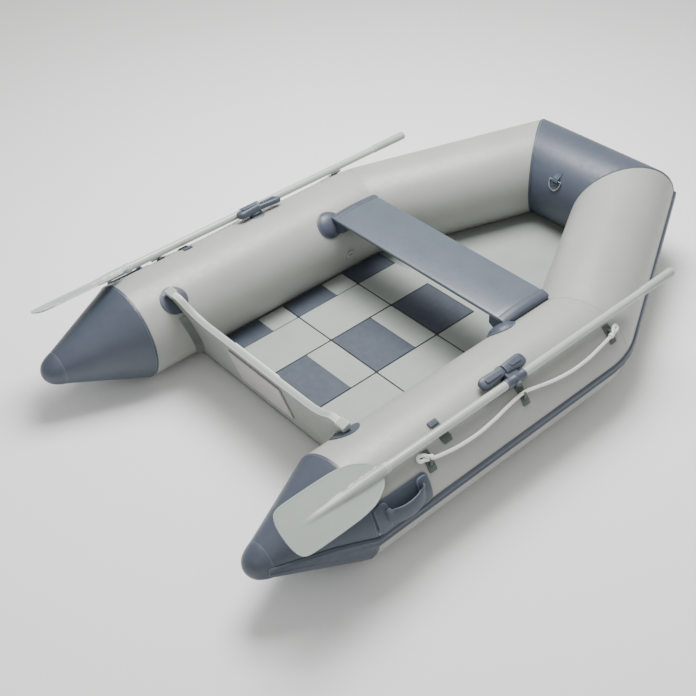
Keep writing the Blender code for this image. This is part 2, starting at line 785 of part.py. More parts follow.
def bow_ring(ring_finish, strap_finish):
    """Build the mooring ring inside the bow and the strap that holds its bar."""
    thickness = 0.0022
    rings = []
    for x in (-0.0125, 0.0125):
        ring = []
        inner = [(angle, PATCH_GAP) for angle in (140.0, 146.0, 152.0, 158.0)]
        outer = [(158.0, PATCH_GAP + thickness), (155.0, PATCH_GAP + thickness)]
        hump = [(153.3, 0.0105), (150.0, 0.0110), (147.5, 0.0090)]
        ring.extend(bow_place(angle, height, x) for angle, height in inner)
        ring.extend(bow_place(angle, height, x) for angle, height in outer)
        ring.extend(bow_place(angle, height, x) for angle, height in hump)
        ring.extend([bow_place(145.0, PATCH_GAP + thickness, x), bow_place(140.0, PATCH_GAP + thickness, x)])
        rings.append(ring)
    strap = solid("bow_ring_strap", *loft(rings), strap_finish)
    centre = bow_place(RING_ANGLE, 0.0065)
    reach = Vector((0.04, 0.0, 0.0))
    tunnel = round_bar("tunnel", centre - reach, centre + reach, RING_WIRE + 0.0005, strap_finish, 10)
    combine(strap, tunnel, operation="DIFFERENCE")

    half, drop = 0.0265, 0.040
    down = (bow_place(165.0, 0.0048) - centre).normalized()
    path = [centre + Vector((x, 0.0, 0.0)) for x in (0.0, 0.0150, half)]
    for i in range(1, 12):
        turn = math.pi * i / 12
        path.append(centre + Vector((half * math.cos(turn), 0.0, 0.0)) + down * (drop * math.sin(turn) ** 0.8))
    path.extend(centre + Vector((x, 0.0, 0.0)) for x in (-half, -0.0150))
    outward = Vector((1.0, 0.0, 0.0)).cross(down).normalized()
    rings = []
    count = 8
    for i, place in enumerate(path):
        run = (path[(i + 1) % len(path)] - path[i - 1]).normalized()
        across = run.cross(outward).normalized()
        ring = []
        for step in range(count):
            turn = 2.0 * math.pi * step / count
            ring.append(place + outward * (RING_WIRE * math.cos(turn)) + across * (RING_WIRE * math.sin(turn)))
        rings.append(ring)
    points, faces = loft(rings, capped=False)
    last = (len(rings) - 1) * count
    for i in range(count):
        j = (i + 1) % count
        faces.append((last + i, last + j, j, i))
    solid("bow_ring", points, faces, ring_finish)


def main():
    """Build every piece of the boat."""
    clear_scene()
    light = material("light_grey_coated_fabric", (0.45, 0.47, 0.46), 0.45)
    navy = material("blue_grey_coated_fabric", (0.10, 0.13, 0.19), 0.45)
    rubber = material("blue_grey_rubber", (0.11, 0.14, 0.20), 0.55)
    slat_light = material("floor_fabric_light", (0.36, 0.40, 0.38), 0.6)
    slat_dark = material("floor_fabric_dark", (0.14, 0.17, 0.22), 0.6)
    board = material("painted_plywood", (0.33, 0.36, 0.34), 0.5)
    pad = material("motor_pad_plastic", (0.50, 0.50, 0.48), 0.4)
    seat = material("painted_seat_board", (0.20, 0.24, 0.29), 0.4)
    plastic = material("grey_green_oar_plastic", (0.55, 0.60, 0.57), 0.35)
    webbing = material("dark_webbing", (0.08, 0.10, 0.09), 0.8)
    rope = material("white_braided_rope", (0.72, 0.72, 0.68), 0.8)
    steel = material("stainless_steel", (0.70, 0.70, 0.70), 0.25, 1.0)
    grey = material("light_grey_valve_plastic", (0.40, 0.42, 0.41), 0.4)

    bow_tube(navy)
    bow_strake(rubber)
    bottom_skin(light)
    floor_slats(slat_light, slat_dark)
    transom(board, pad, webbing, rubber)
    seat_board(seat)
    for side in SIDE_NAMES:
        side_tube(side, light)
        tail_cone(side, navy)
        side_strake(side, rubber)
        seat_mount(side, rubber)
        rowlock(side, rubber, plastic)
        oar(side, plastic, plastic, plastic)
        grab_line(side, rope)
        line_patches(side, webbing)
        oar_holder(side, webbing)
        carry_handle(side, rubber)
        valve(side, grey, grey)
    bow_ring(steel, rubber)


main()
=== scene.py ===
import logging
import math
from collections.abc import Callable, Sequence
from dataclasses import dataclass
from enum import Enum
from functools import lru_cache

import bmesh
import bpy
from mathutils import Matrix, Vector


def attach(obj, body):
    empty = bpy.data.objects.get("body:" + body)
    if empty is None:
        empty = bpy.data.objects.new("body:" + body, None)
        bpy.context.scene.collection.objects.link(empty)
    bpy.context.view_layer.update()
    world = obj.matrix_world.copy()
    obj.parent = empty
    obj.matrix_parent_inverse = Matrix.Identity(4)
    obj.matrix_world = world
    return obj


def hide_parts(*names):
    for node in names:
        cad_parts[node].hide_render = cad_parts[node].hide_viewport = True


# The looks of an inflatable dinghy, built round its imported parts. +X is starboard, +Y is
# forward, +Z is up, in metres. Stations run forward from the seam between tubes and tail cones.
# Pieces that come in pairs are built to starboard, and settle() mirrors the port ones.

log = logging.getLogger("dinghy")
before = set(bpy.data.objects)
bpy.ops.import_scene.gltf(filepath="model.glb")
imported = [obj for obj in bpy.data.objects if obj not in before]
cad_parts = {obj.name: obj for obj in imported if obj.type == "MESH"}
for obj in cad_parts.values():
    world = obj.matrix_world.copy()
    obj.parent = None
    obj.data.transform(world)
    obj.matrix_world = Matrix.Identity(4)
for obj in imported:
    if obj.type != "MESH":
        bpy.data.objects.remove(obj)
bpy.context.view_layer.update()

# The layer that holds cloth coordinates, in metres along and across a piece.
CLOTH = "cloth"
# A wave texture of scale 1 repeats every 2 pi / 20 of its coordinate.
WAVE = math.pi / 10.0


class Side(Enum):
    """A side of the boat, with the sign of its X."""

    STARBOARD = 1
    PORT = -1

    @property
    def word(self) -> str:
        """Return the side's name as the parts spell it."""
        return self.name.lower()


class Kind(Enum):
    """What a selection in edit mode is made of."""

    VERT = "verts"
    EDGE = "edges"
    FACE = "faces"


# Finishes.


def linear(code: str) -> tuple[float, float, float, float]:
    """Turn an sRGB hex value into a linear colour.

    Args:
        code: the colour as "#rrggbb".

    Returns:
        The linear red, green and blue, and an alpha of 1.
    """
    shares = [int(code[i : i + 2], 16) / 255.0 for i in (1, 3, 5)]
    red, green, blue = (s / 12.92 if s <= 0.04045 else ((s + 0.055) / 1.055) ** 2.4 for s in shares)
    return red, green, blue, 1.0


def add(tree: bpy.types.NodeTree, kind: str, settings: dict | None = None, inputs: dict | None = None):
    """Add one node with its settings and links.

    Args:
        tree: the material's nodes.
        kind: the node's type name.
        settings: values of the node's own properties.
        inputs: a value or a socket for each input, by name or number.

    Returns:
        The node.
    """
    made = tree.nodes.new(kind)
    for key, value in (settings or {}).items():
        setattr(made, key, value)
    for key, value in (inputs or {}).items():
        if isinstance(value, bpy.types.NodeSocket):
            tree.links.new(value, made.inputs[key])
        else:
            made.inputs[key].default_value = value
    return made


@dataclass(frozen=True)
class Finish:
    """A real material: its tones, its gloss and the relief of its surface.

    shade is the tone it mottles towards, mottle_mm the size of the clouds, spread how far the
    roughness wanders, edge the paler tone of its sharp edges, partly wear and partly painted
    highlight, and depth_mm the height of its relief.
    """

    name: str
    colour: str
    shade: str
    slot: str
    roughness: float = 0.45
    spread: float = 0.08
    mottle_mm: float = 60.0
    depth_mm: float = 0.2
    edge: str = ""
    metallic: float = 0.0
    ior: float = 1.5

    def relief(self, tree: bpy.types.NodeTree, place: bpy.types.NodeSocket) -> bpy.types.NodeSocket:
        """Return the height of the surface's relief, from 0 to 1.

        Args:
            tree: the material's nodes.
            place: object coordinates in metres.

        Returns:
            The height's socket.
        """
        raise NotImplementedError

    def make(self) -> bpy.types.Material:
        """Return the material."""
        made = bpy.data.materials.new(self.name)
        made.use_nodes = True
        tree = made.node_tree
        shader = tree.nodes["Principled BSDF"]
        place = add(tree, "ShaderNodeTexCoord").outputs["Object"]
        clouds = add(
            tree, "ShaderNodeTexNoise",
            inputs={"Vector": place, "Scale": 1000.0 / self.mottle_mm, "Detail": 5.0, "Roughness": 0.6},
        ).outputs[0]
        share = add(
            tree, "ShaderNodeMapRange",
            inputs={"Value": clouds, "From Min": 0.30, "From Max": 0.72, "To Min": 0.0, "To Max": 1.0},
        ).outputs[0]
        tone = add(
            tree, "ShaderNodeMix", {"data_type": "RGBA"},
            {0: share, 6: linear(self.colour), 7: linear(self.shade)},
        ).outputs[2]
        # Pointiness mixes sharp edges towards the paler edge tone: partly wear, partly painted highlight.
        if self.edge:
            bend = add(tree, "ShaderNodeNewGeometry").outputs["Pointiness"]
            edge_wear_and_highlight = add(
                tree, "ShaderNodeMapRange",
                inputs={"Value": bend, "From Min": 0.515, "From Max": 0.62, "To Min": 0.0, "To Max": 0.75},
            ).outputs[0]
            tone = add(
                tree, "ShaderNodeMix", {"data_type": "RGBA"}, {0: edge_wear_and_highlight, 6: tone, 7: linear(self.edge)}
            ).outputs[2]
        tree.links.new(tone, shader.inputs["Base Color"])
        scuffs = add(
            tree, "ShaderNodeTexNoise",
            inputs={"Vector": place, "Scale": 45.0, "Detail": 6.0, "Roughness": 0.7},
        ).outputs[0]
        gloss = add(
            tree, "ShaderNodeMapRange",
            inputs={
                "Value": scuffs, "From Min": 0.3, "From Max": 0.7,
                "To Min": self.roughness - self.spread, "To Max": self.roughness + self.spread,
            },
        ).outputs[0]
        tree.links.new(gloss, shader.inputs["Roughness"])
        shader.inputs["Metallic"].default_value = self.metallic
        shader.inputs["IOR"].default_value = self.ior
        bump = add(
            tree, "ShaderNodeBump",
            inputs={"Height": self.relief(tree, place), "Distance": self.depth_mm / 1000.0, "Strength": 0.6},
        )
        tree.links.new(bump.outputs[0], shader.inputs["Normal"])
        return made


@dataclass(frozen=True)
class CoatedFabric(Finish):
    """Calendered PVC on a polyester base cloth: soft satin, with the threads just telling."""

    # The real threads lie 0.9 mm apart. They are drawn at 3 mm, so that they show.
    thread_mm: float = 3.0

    def relief(self, tree: bpy.types.NodeTree, place: bpy.types.NodeSocket) -> bpy.types.NodeSocket:
        """Return crossing threads under a coating that fills most of them."""
        cloth = add(tree, "ShaderNodeUVMap", {"uv_map": CLOTH}).outputs[0]
        scale = 1000.0 / self.thread_mm * WAVE
        settings = {"wave_type": "BANDS", "wave_profile": "SIN"}
        across, along = (
            add(
                tree, "ShaderNodeTexWave", settings | {"bands_direction": direction},
                {"Vector": cloth, "Scale": scale, "Distortion": 0.6, "Detail": 1.0},
            ).outputs["Fac"]
            for direction in ("X", "Y")
        )
        threads = add(tree, "ShaderNodeMath", {"operation": "MULTIPLY"}, {0: across, 1: along}).outputs[0]
        swell = add(
            tree, "ShaderNodeTexNoise", inputs={"Vector": place, "Scale": 14.0, "Detail": 2.0}
        ).outputs[0]
        soft = add(tree, "ShaderNodeMath", {"operation": "MULTIPLY"}, {0: swell, 1: 6.0}).outputs[0]
        return add(tree, "ShaderNodeMath", {"operation": "ADD"}, {0: threads, 1: soft}).outputs[0]


@dataclass(frozen=True)
class WovenWebbing(Finish):
    """Woven nylon webbing: close ribs across the strap and a matt, slightly hairy face."""

    # The real ribs lie 1.3 mm apart. They are drawn at 2.6 mm, so that they show.
    rib_mm: float = 2.6

    def relief(self, tree: bpy.types.NodeTree, place: bpy.types.NodeSocket) -> bpy.types.NodeSocket:
        """Return slanting ribs, as a twill has."""
        cloth = add(tree, "ShaderNodeUVMap", {"uv_map": CLOTH}).outputs[0]
        # A diagonal band runs through X, Y and Z alike, so its spacing shrinks by the root of 3.
        scale = 1000.0 / self.rib_mm * WAVE / math.sqrt(3.0)
        return add(
            tree, "ShaderNodeTexWave", {"wave_type": "BANDS", "bands_direction": "DIAGONAL"},
            {"Vector": cloth, "Scale": scale, "Distortion": 0.4},
        ).outputs["Fac"]


@dataclass(frozen=True)
class PaintedWood(Finish):
    """Sanded and painted plywood: the grain still lifts the paint in long low lines."""

    # Grain lines about 4 mm apart and some 20 times as long, along X.
    grain_mm: float = 4.0
    stretch: float = 20.0

    def relief(self, tree: bpy.types.NodeTree, place: bpy.types.NodeSocket) -> bpy.types.NodeSocket:
        """Return noise stretched along the board."""
        along = 1.0 / self.stretch
        drawn = add(
            tree, "ShaderNodeMapping", {"vector_type": "POINT"},
            {"Vector": place, "Scale": (along, 1.0, 1.0)},
        ).outputs[0]
        return add(
            tree, "ShaderNodeTexNoise",
            inputs={"Vector": drawn, "Scale": 1000.0 / self.grain_mm, "Detail": 4.0, "Roughness": 0.55},
        ).outputs[0]


@dataclass(frozen=True)
class Moulded(Finish):
    """Injection-moulded rubber or plastic: an eroded tool leaves a fine even grain."""

    # Spark-eroded texture, about 0.4 mm, drawn at 1.2 mm.
    grain_mm: float = 1.2

    def relief(self, tree: bpy.types.NodeTree, place: bpy.types.NodeSocket) -> bpy.types.NodeSocket:
        """Return a fine even grain."""
        return add(
            tree, "ShaderNodeTexNoise",
            inputs={"Vector": place, "Scale": 1000.0 / self.grain_mm, "Detail": 2.0, "Roughness": 0.5},
        ).outputs[0]


# Soft satin grey: broad, quiet lights along the tubes.
LIGHT_FABRIC = CoatedFabric(
    "light_grey_pvc_coated_polyester", "#a2a49f", "#9a9c97", "light_grey_coated_fabric",
    roughness=0.40, mottle_mm=220.0, depth_mm=0.10,
)
# The same cloth in blue-grey, on the bow and the cones.
NAVY_FABRIC = CoatedFabric(
    "blue_grey_pvc_coated_polyester", "#484f5c", "#414855", "blue_grey_coated_fabric",
    roughness=0.42, mottle_mm=160.0, depth_mm=0.10,
)
# Flatter than the tubes, with hardly any shine.
FLOOR_LIGHT = CoatedFabric(
    "pale_green_grey_pvc_floor_cloth", "#9aa19c", "#919893", "floor_fabric_light",
    roughness=0.64, mottle_mm=120.0, depth_mm=0.14,
)
# The same floor cloth in blue-grey, welded on in blocks.
FLOOR_DARK = CoatedFabric(
    "blue_grey_pvc_floor_cloth", "#404855", "#3b434f", "floor_fabric_dark",
    roughness=0.66, mottle_mm=90.0, depth_mm=0.14,
)
# Moulded rubber with a pale line on its sharp edges, partly rubbed wear and partly painted highlight.
NAVY_RUBBER = Moulded(
    "blue_grey_thermoplastic_rubber", "#464d5a", "#3f4653", "blue_grey_rubber",
    roughness=0.42, mottle_mm=35.0, depth_mm=0.06, edge="#788293",
)
# Matt dark pads with faintly lighter edges, partly wear and partly painted highlight.
DARK_RUBBER = Moulded(
    "dark_grey_rubber", "#545d5c", "#4c5554", "dark_webbing",
    roughness=0.60, mottle_mm=25.0, depth_mm=0.08, edge="#7d8886",
)
# Waxy pale grey-green, with a painted highlight on its thin rims.
OAR_PLASTIC = Moulded(
    "pale_grey_polypropylene", "#a3aca6", "#9da6a0", "grey_green_oar_plastic",
    roughness=0.40, mottle_mm=70.0, depth_mm=0.05, edge="#dfe4de",
)
# A hard powder coat: one clean light along the shaft.
SHAFT_ALUMINIUM = Moulded(
    "powder_coated_aluminium_tube", "#b1b8b2", "#abb2ac", "grey_green_oar_plastic",
    roughness=0.24, spread=0.05, mottle_mm=90.0, depth_mm=0.03,
)
# Gloss paint over ply, with a broad light across its crown, and a paler tone on its sharp edges that is
# partly wear and partly painted highlight.
SEAT_COAT = PaintedWood(
    "painted_seat_plywood", "#555d68", "#4f5761", "painted_seat_board",
    roughness=0.30, spread=0.04, mottle_mm=130.0, depth_mm=0.04, edge="#959ca6",
)
# Flat grey-green paint, with a paler painted highlight along the edges.
TRANSOM_PAINT = PaintedWood(
    "painted_transom_plywood", "#959a93", "#8c918a", "painted_plywood",
    roughness=0.45, mottle_mm=110.0, depth_mm=0.14, edge="#c3c8c2",
)
# Warm grey plate that stands out from the board behind it, with a painted highlight on its edges.
MOTOR_PAD = Moulded(
    "motor_pad_polyethylene", "#a8a5a2", "#9f9c9a", "motor_pad_plastic",
    roughness=0.42, mottle_mm=60.0, depth_mm=0.08, edge="#d0cecb",
)
# Matt and nearly white, the brightest line on the boat.
WHITE_ROPE = Moulded(
    "braided_polyester_rope", "#f0f0ea", "#e2e2da", "white_braided_rope",
    roughness=0.72, mottle_mm=9.0, depth_mm=0.12, grain_mm=0.9,
)
# Dull ribbed straps, darker than all round them, with paler edges that are partly wear and partly painted
# highlight.
DARK_WEBBING = WovenWebbing(
    "dark_nylon_webbing", "#5a635f", "#505955", "dark_webbing",
    roughness=0.78, mottle_mm=14.0, depth_mm=0.35, edge="#7b8681",
)
# The blue-grey strap that holds the ring.
NAVY_WEBBING = WovenWebbing(
    "navy_nylon_webbing", "#414b5a", "#3a4452", "blue_grey_rubber",
    roughness=0.75, mottle_mm=14.0, depth_mm=0.25,
)
# Painted shade: dull dark strips sunk in the joints of the floor, to darken the gaps between boards.
JOINT_SHADE = Moulded(
    "dark_pvc_welt_cord", "#2f3637", "#2a3031", "floor_fabric_dark",
    roughness=0.7, mottle_mm=30.0, depth_mm=0.05,
)
# The boards themselves, seen only in the gaps between their covers and coloured dark there as painted shade.
BOARD_SHADE = Moulded(
    "dark_stained_floor_plywood", "#333b3b", "#2d3434", "floor_fabric_light",
    roughness=0.7, mottle_mm=30.0, depth_mm=0.05,
)
# A whiter plate on the inboard face.
INNER_PAD = Moulded(
    "white_motor_pad_polyethylene", "#dcdedb", "#d2d4d1", "motor_pad_plastic",
    roughness=0.40, mottle_mm=60.0, depth_mm=0.06,
)
# Smooth pale trim with a painted highlight along its lip.
TRANSOM_TRIM = Moulded(
    "pale_green_grey_trim_plastic", "#a3aaa5", "#9ca39e", "motor_pad_plastic",
    roughness=0.42, mottle_mm=60.0, depth_mm=0.05, edge="#dfe3de",
)
# Painted shade: a darker, duller copy of the blue-grey rubber for the sunk handle panels and the seat webs,
# where shade falls.
SHADED_RUBBER = Moulded(
    "matt_blue_grey_rubber", "#3d4754", "#37414d", "blue_grey_rubber",
    roughness=0.62, mottle_mm=30.0, depth_mm=0.06,
)
# Dark beds with a pale painted highlight along their lips.
EDGE_RUBBER = Moulded(
    "grey_edging_rubber", "#3f4846", "#39413f", "dark_webbing",
    roughness=0.55, mottle_mm=30.0, depth_mm=0.06, edge="#b6bdb8",
)
# Plain grey plastic with lighter rims, partly wear and partly painted highlight.
VALVE_PLASTIC = Moulded(
    "light_grey_nylon", "#8b908d", "#999e9b", "light_grey_valve_plastic",
    roughness=0.42, mottle_mm=20.0, depth_mm=0.05, edge="#c2c6c3",
)
# Polished wire with small sharp lights.
STEEL = Moulded(
    "polished_stainless_steel", "#d3d3d2", "#c8c8c7", "stainless_steel",
    roughness=0.22, spread=0.06, mottle_mm=12.0, depth_mm=0.02, metallic=1.0,
)


@lru_cache(maxsize=None)
def material_of(finish: Finish) -> bpy.types.Material:
    """Return a finish's one material."""
    return finish.make()


# Modelling by hand.


def only(piece: bpy.types.Object) -> None:
    """Select one piece alone and make it active."""
    bpy.ops.object.select_all(action="DESELECT")
    piece.select_set(True)
    bpy.context.view_layer.objects.active = piece


def edit(piece: bpy.types.Object) -> None:
    """Open a piece in edit mode."""
    only(piece)
    bpy.ops.object.mode_set(mode="EDIT")


def leave() -> None:
    """Go back to object mode."""
    bpy.ops.object.mode_set(mode="OBJECT")


def pick(piece: bpy.types.Object, kind: Kind, test: Callable) -> None:
    """Select what passes a test in edit mode.

    Args:
        piece: the piece being edited.
        kind: whether vertices, edges or faces are chosen.
        test: says of one of them whether it is wanted.
    """
    bpy.ops.mesh.select_mode(type=kind.name)
    bpy.ops.mesh.select_all(action="DESELECT")
    mesh = bmesh.from_edit_mesh(piece.data)
    for item in getattr(mesh, kind.value):
        if test(item):
            item.select_set(True)
    mesh.select_flush_mode()
    bmesh.update_edit_mesh(piece.data)


def begun(operator: Callable, name: str, **settings) -> bpy.types.Object:
    """Add a primitive and put its place in its mesh.

    Args:
        operator: the operator that adds it.
        name: the new piece's name.
        settings: the operator's own settings.

    Returns:
        The new object.
    """
    bpy.ops.object.select_all(action="DESELECT")
    operator(**settings)
    piece = bpy.context.object
    piece.name = name
    piece.data.name = name
    bpy.ops.object.transform_apply(location=True, rotation=True, scale=True)
    return piece


def modify(piece: bpy.types.Object, kind: str, **settings) -> None:
    """Add a modifier and apply it.

    Args:
        piece: what it works on.
        kind: the modifier's type name.
        settings: its settings.
    """
    only(piece)
    added = piece.modifiers.new(kind.title(), kind)
    for key, value in settings.items():
        setattr(added, key, value)
    bpy.ops.object.modifier_apply(modifier=added.name)


def ease(piece: bpy.types.Object, width: float, segments: int = 3, angle: float = 40.0) -> None:
    """Round a piece's sharp edges over a width in metres."""
    modify(
        piece, "BEVEL", width=width, segments=segments, limit_method="ANGLE",
        angle_limit=math.radians(angle), use_clamp_overlap=True,
    )


def reshape(piece: bpy.types.Object, move: Callable[[Vector], Vector]) -> None:
    """Move every vertex of a piece to where a rule puts it."""
    for vertex in piece.data.vertices:
        vertex.co = move(vertex.co.copy())
    piece.data.update()


def lay_cloth(piece: bpy.types.Object, place: Callable[[Vector], tuple[float, float]]) -> None:
    """Give a piece its cloth coordinates in metres, from its vertices' places."""
    layer = piece.data.uv_layers.get(CLOTH) or piece.data.uv_layers.new(name=CLOTH)
    for loop in piece.data.loops:
        layer.data[loop.index].uv = place(piece.data.vertices[loop.vertex_index].co)


def facing_out(piece: bpy.types.Object) -> None:
    """Turn all of a closed piece's faces outwards."""
    edit(piece)
    bpy.ops.mesh.select_all(action="SELECT")
    bpy.ops.mesh.normals_make_consistent(inside=False)
    leave()


def turned(name: str, profile: Sequence[tuple[float, float]], segments: int = 48) -> bpy.types.Object:
    """Grow a round piece up Z from a circle, ring by ring, and close both ends.

    Args:
        name: the piece's name.
        profile: the radius and height of each ring.
        segments: how many sides each ring has.

    Returns:
        The piece, on the Z axis.
    """
    radius, low = profile[0]
    piece = begun(
        bpy.ops.mesh.primitive_circle_add, name, vertices=segments, radius=radius, location=(0.0, 0.0, low),
        fill_type="NGON",
    )
    edit(piece)
    bpy.ops.mesh.select_all(action="SELECT")
    for reach, high in profile[1:]:
        bpy.ops.mesh.extrude_region_move(TRANSFORM_OT_translate={"value": (0.0, 0.0, high - low)})
        ratio = reach / radius
        bpy.ops.transform.resize(value=(ratio, ratio, 1.0), center_override=(0.0, 0.0, high))
        radius, low = reach, high
    leave()
    facing_out(piece)
    return piece


def block(
    name: str, low: Sequence[float], high: Sequence[float], cuts: Sequence[int] = (0, 0, 0)
) -> bpy.types.Object:
    """Add a block between two corners, cut across in each direction.

    Args:
        name: the piece's name.
        low: its lowest corner.
        high: its highest corner.
        cuts: how many cuts divide its edges along X, Y and Z.

    Returns:
        The block.
    """
    middle = [(a + b) / 2.0 for a, b in zip(low, high)]
    sizes = [b - a for a, b in zip(low, high)]
    piece = begun(bpy.ops.mesh.primitive_cube_add, name, size=1.0, location=middle, scale=sizes)
    for axis, count in enumerate(cuts):
        if not count:
            continue
        edit(piece)
        pick(
            piece, Kind.EDGE,
            lambda e: abs((e.verts[0].co - e.verts[1].co)[axis]) > 0.9 * sizes[axis],
        )
        bpy.ops.mesh.subdivide(number_cuts=count)
        leave()
    return piece


def sheet_cut(
    name: str, length: float, width: float, corner: float, thick: float, rounding: float = 0.0006
) -> bpy.types.Object:
    """Cut a flat sheet with round corners, lying on Z = 0 and centred.

    Args:
        name: the piece's name.
        length: its size along X.
        width: its size along Y.
        corner: the radius of its corners.
        thick: its thickness.
        rounding: how far its edges are eased.

    Returns:
        The sheet.
    """
    piece = begun(
        bpy.ops.mesh.primitive_grid_add, name, size=1.0,
        x_subdivisions=max(8, int(length / 0.006)), y_subdivisions=max(8, int(width / 0.005)),
    )
    half = (length / 2.0, width / 2.0)

    def rounded(place: Vector) -> Vector:
        x, y = place.x * length, place.y * width
        over = (abs(x) - half[0] + corner, abs(y) - half[1] + corner)
        if min(over) > 0.0:
            pull = max(over) / math.hypot(*over)
            x = math.copysign(half[0] - corner + over[0] * pull, x)
            y = math.copysign(half[1] - corner + over[1] * pull, y)
        return Vector((x, y, 0.0))

    reshape(piece, rounded)
    modify(piece, "SOLIDIFY", thickness=thick, offset=1.0, use_even_offset=False)
    if rounding:
        ease(piece, rounding, 2, 50.0)
    lay_cloth(piece, lambda place: (place.x, place.y))
    return piece


def along_path(
    name: str, path: Sequence[Vector], widths: Callable[[int, float], tuple[float, float]], facing: Vector,
    around: int = 16,
) -> bpy.types.Object:
    """Carry an oval along a path and close its ends.

    Args:
        name: the piece's name.
        path: the places it runs through.
        widths: gives the half width towards facing and across it, at a point's number and a turn.
        facing: the direction that the first width is measured in.
        around: how many sides the oval has.

    Returns:
        The piece, with its faces turned outwards.
    """
    points, faces, runs = [], [], [0.0]
    for i, place in enumerate(path):
        run = (path[min(i + 1, len(path) - 1)] - path[max(i - 1, 0)]).normalized()
        across = run.cross(facing).normalized()
        face_way = across.cross(run).normalized()
        if i:
            runs.append(runs[-1] + (place - path[i - 1]).length)
        for step in range(around):
            turn = 2.0 * math.pi * step / around
            tall, wide = widths(i, turn)
            points.append(place + face_way * (tall * math.cos(turn)) + across * (wide * math.sin(turn)))
    for row in range(len(path) - 1):
        for step in range(around):
            after = (step + 1) % around
            low, high = row * around, (row + 1) * around
            faces.append((low + step, low + after, high + after, high + step))
    faces.append(tuple(range(around)))
    faces.append(tuple(range((len(path) - 1) * around, len(path) * around)))
    mesh = bpy.data.meshes.new(name)
    mesh.from_pydata(points, [], faces)
    piece = bpy.data.objects.new(name, mesh)
    bpy.context.collection.objects.link(piece)
    facing_out(piece)
    return piece


def from_node(node: str, name: str) -> bpy.types.Object:
    """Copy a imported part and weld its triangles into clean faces.

    Args:
        node: the part's name.
        name: the new piece's name.

    Returns:
        The copy, in the part's place.
    """
    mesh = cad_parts[node].data.copy()
    piece = bpy.data.objects.new(name, mesh)
    bpy.context.collection.objects.link(piece)
    only(piece)
    bpy.ops.mesh.customdata_custom_splitnormals_clear()
    edit(piece)
    bpy.ops.mesh.select_all(action="SELECT")
    bpy.ops.mesh.remove_doubles(threshold=1e-5)
    bpy.ops.mesh.dissolve_limited(angle_limit=math.radians(1.0))
    leave()
    return piece


def put(piece: bpy.types.Object, matrix: Matrix) -> bpy.types.Object:
    """Move a piece's mesh by a matrix and return the piece."""
    piece.data.transform(matrix)
    return piece


def settle(
    piece: bpy.types.Object, body: str, finish: Finish, side: Side = Side.STARBOARD,
    nodes: Sequence[str] = (), smooth: float = 38.0,
) -> bpy.types.Object:
    """Mirror a piece to its side, smooth and dress it, and hang it on its body.

    Args:
        piece: what is settled, as it stands to starboard.
        body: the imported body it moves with.
        finish: what it is made of.
        side: the side it belongs on.
        nodes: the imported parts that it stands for.
        smooth: edges sharper than this many degrees stay sharp.

    Returns:
        The piece.
    """
    if side is Side.PORT:
        piece.data.transform(Matrix.Scale(-1.0, 4, Vector((1.0, 0.0, 0.0))))
        piece.data.flip_normals()
    only(piece)
    bpy.ops.object.shade_smooth_by_angle(angle=math.radians(smooth))
    piece.data.materials.clear()
    piece.data.materials.append(material_of(finish))
    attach(piece, body)
    if nodes:
        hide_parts(*nodes)
    log.info("%s rides on %s, %d faces", piece.name, body, len(piece.data.polygons))
    return piece


def dress_node(node: str, finish: Finish) -> None:
    """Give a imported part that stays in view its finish."""
    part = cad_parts[node]
    for place in part.material_slots:
        place.material = material_of(finish)
    log.info("%s keeps its shape", node)


# Places on the tubes.


@dataclass(frozen=True)
class Skin:
    """The starboard tube's straight stretch, as a surface to put things on.

    x and z place its centre line, seam_y is station 0 and gap the air under what is laid on it.
    """

    radius: float = 0.18
    x: float = 0.566
    z: float = 0.18
    seam_y: float = -0.83
    gap: float = 0.0008

    def place(self, station: float, angle: float, height: float = 0.0) -> Vector:
        """Return a place at a station and an angle from +X, at a height over the skin."""
        turn = math.radians(angle)
        reach = self.radius + height
        across, up = reach * math.cos(turn), reach * math.sin(turn)
        return Vector((self.x + across, self.seam_y + station, self.z + up))

    def wrap(self, piece: bpy.types.Object, station: float, angle: float) -> bpy.types.Object:
        """Lay a flat piece on the skin, its X along the tube and its Y up round it.

        Args:
            piece: what is laid, with its underside on Z = 0.
            station: where its middle goes along the tube.
            angle: where its middle goes round the tube.

        Returns:
            The piece.
        """

        def laid(place: Vector) -> Vector:
            return self.place(
                station + place.x, angle + math.degrees(place.y / self.radius), self.gap + place.z
            )

        reshape(piece, laid)
        return piece

    def stood(
        self, piece: bpy.types.Object, station: float, angle: float, lift: float = 0.0
    ) -> bpy.types.Object:
        """Stand a piece on the skin unbent, its X forward, its Y up round the tube and its Z out.

        Args:
            piece: what is stood there.
            station: where its origin goes along the tube.
            angle: where its origin goes round the tube.
            lift: how far its origin is over the skin.

        Returns:
            The piece.
        """
        turn = math.radians(angle)
        matrix = Matrix((
            (0.0, -math.sin(turn), math.cos(turn)),
            (1.0, 0.0, 0.0),
            (0.0, math.cos(turn), math.sin(turn)),
        )).to_4x4()
        matrix.translation = self.place(station, angle, lift)
        return put(piece, matrix)


SKIN = Skin()


def folds(angle: float, count: float, sway: float, beat: float) -> float:
    """Return how far out a gather stands at an angle, from 0 to 1, in count uneven folds."""
    return 0.5 + 0.5 * math.cos(count * angle + sway * math.sin(beat * angle))


def drawn_in(away: float, reach: float, depth: float, least: float, fold: float) -> float:
    """Return how far cloth is drawn in beside a seam.

    Args:
        away: the distance from the seam.
        reach: how far the gathers reach from it.
        depth: how deep they are on the seam.
        least: the share of the depth that is left where no fold is.
        fold: where this place stands in its fold, from 0 to 1.

    Returns:
        The depth here.
    """
    return depth * math.exp(-((away / reach) ** 2)) * (least + (1.0 - least) * fold)


# The hull.


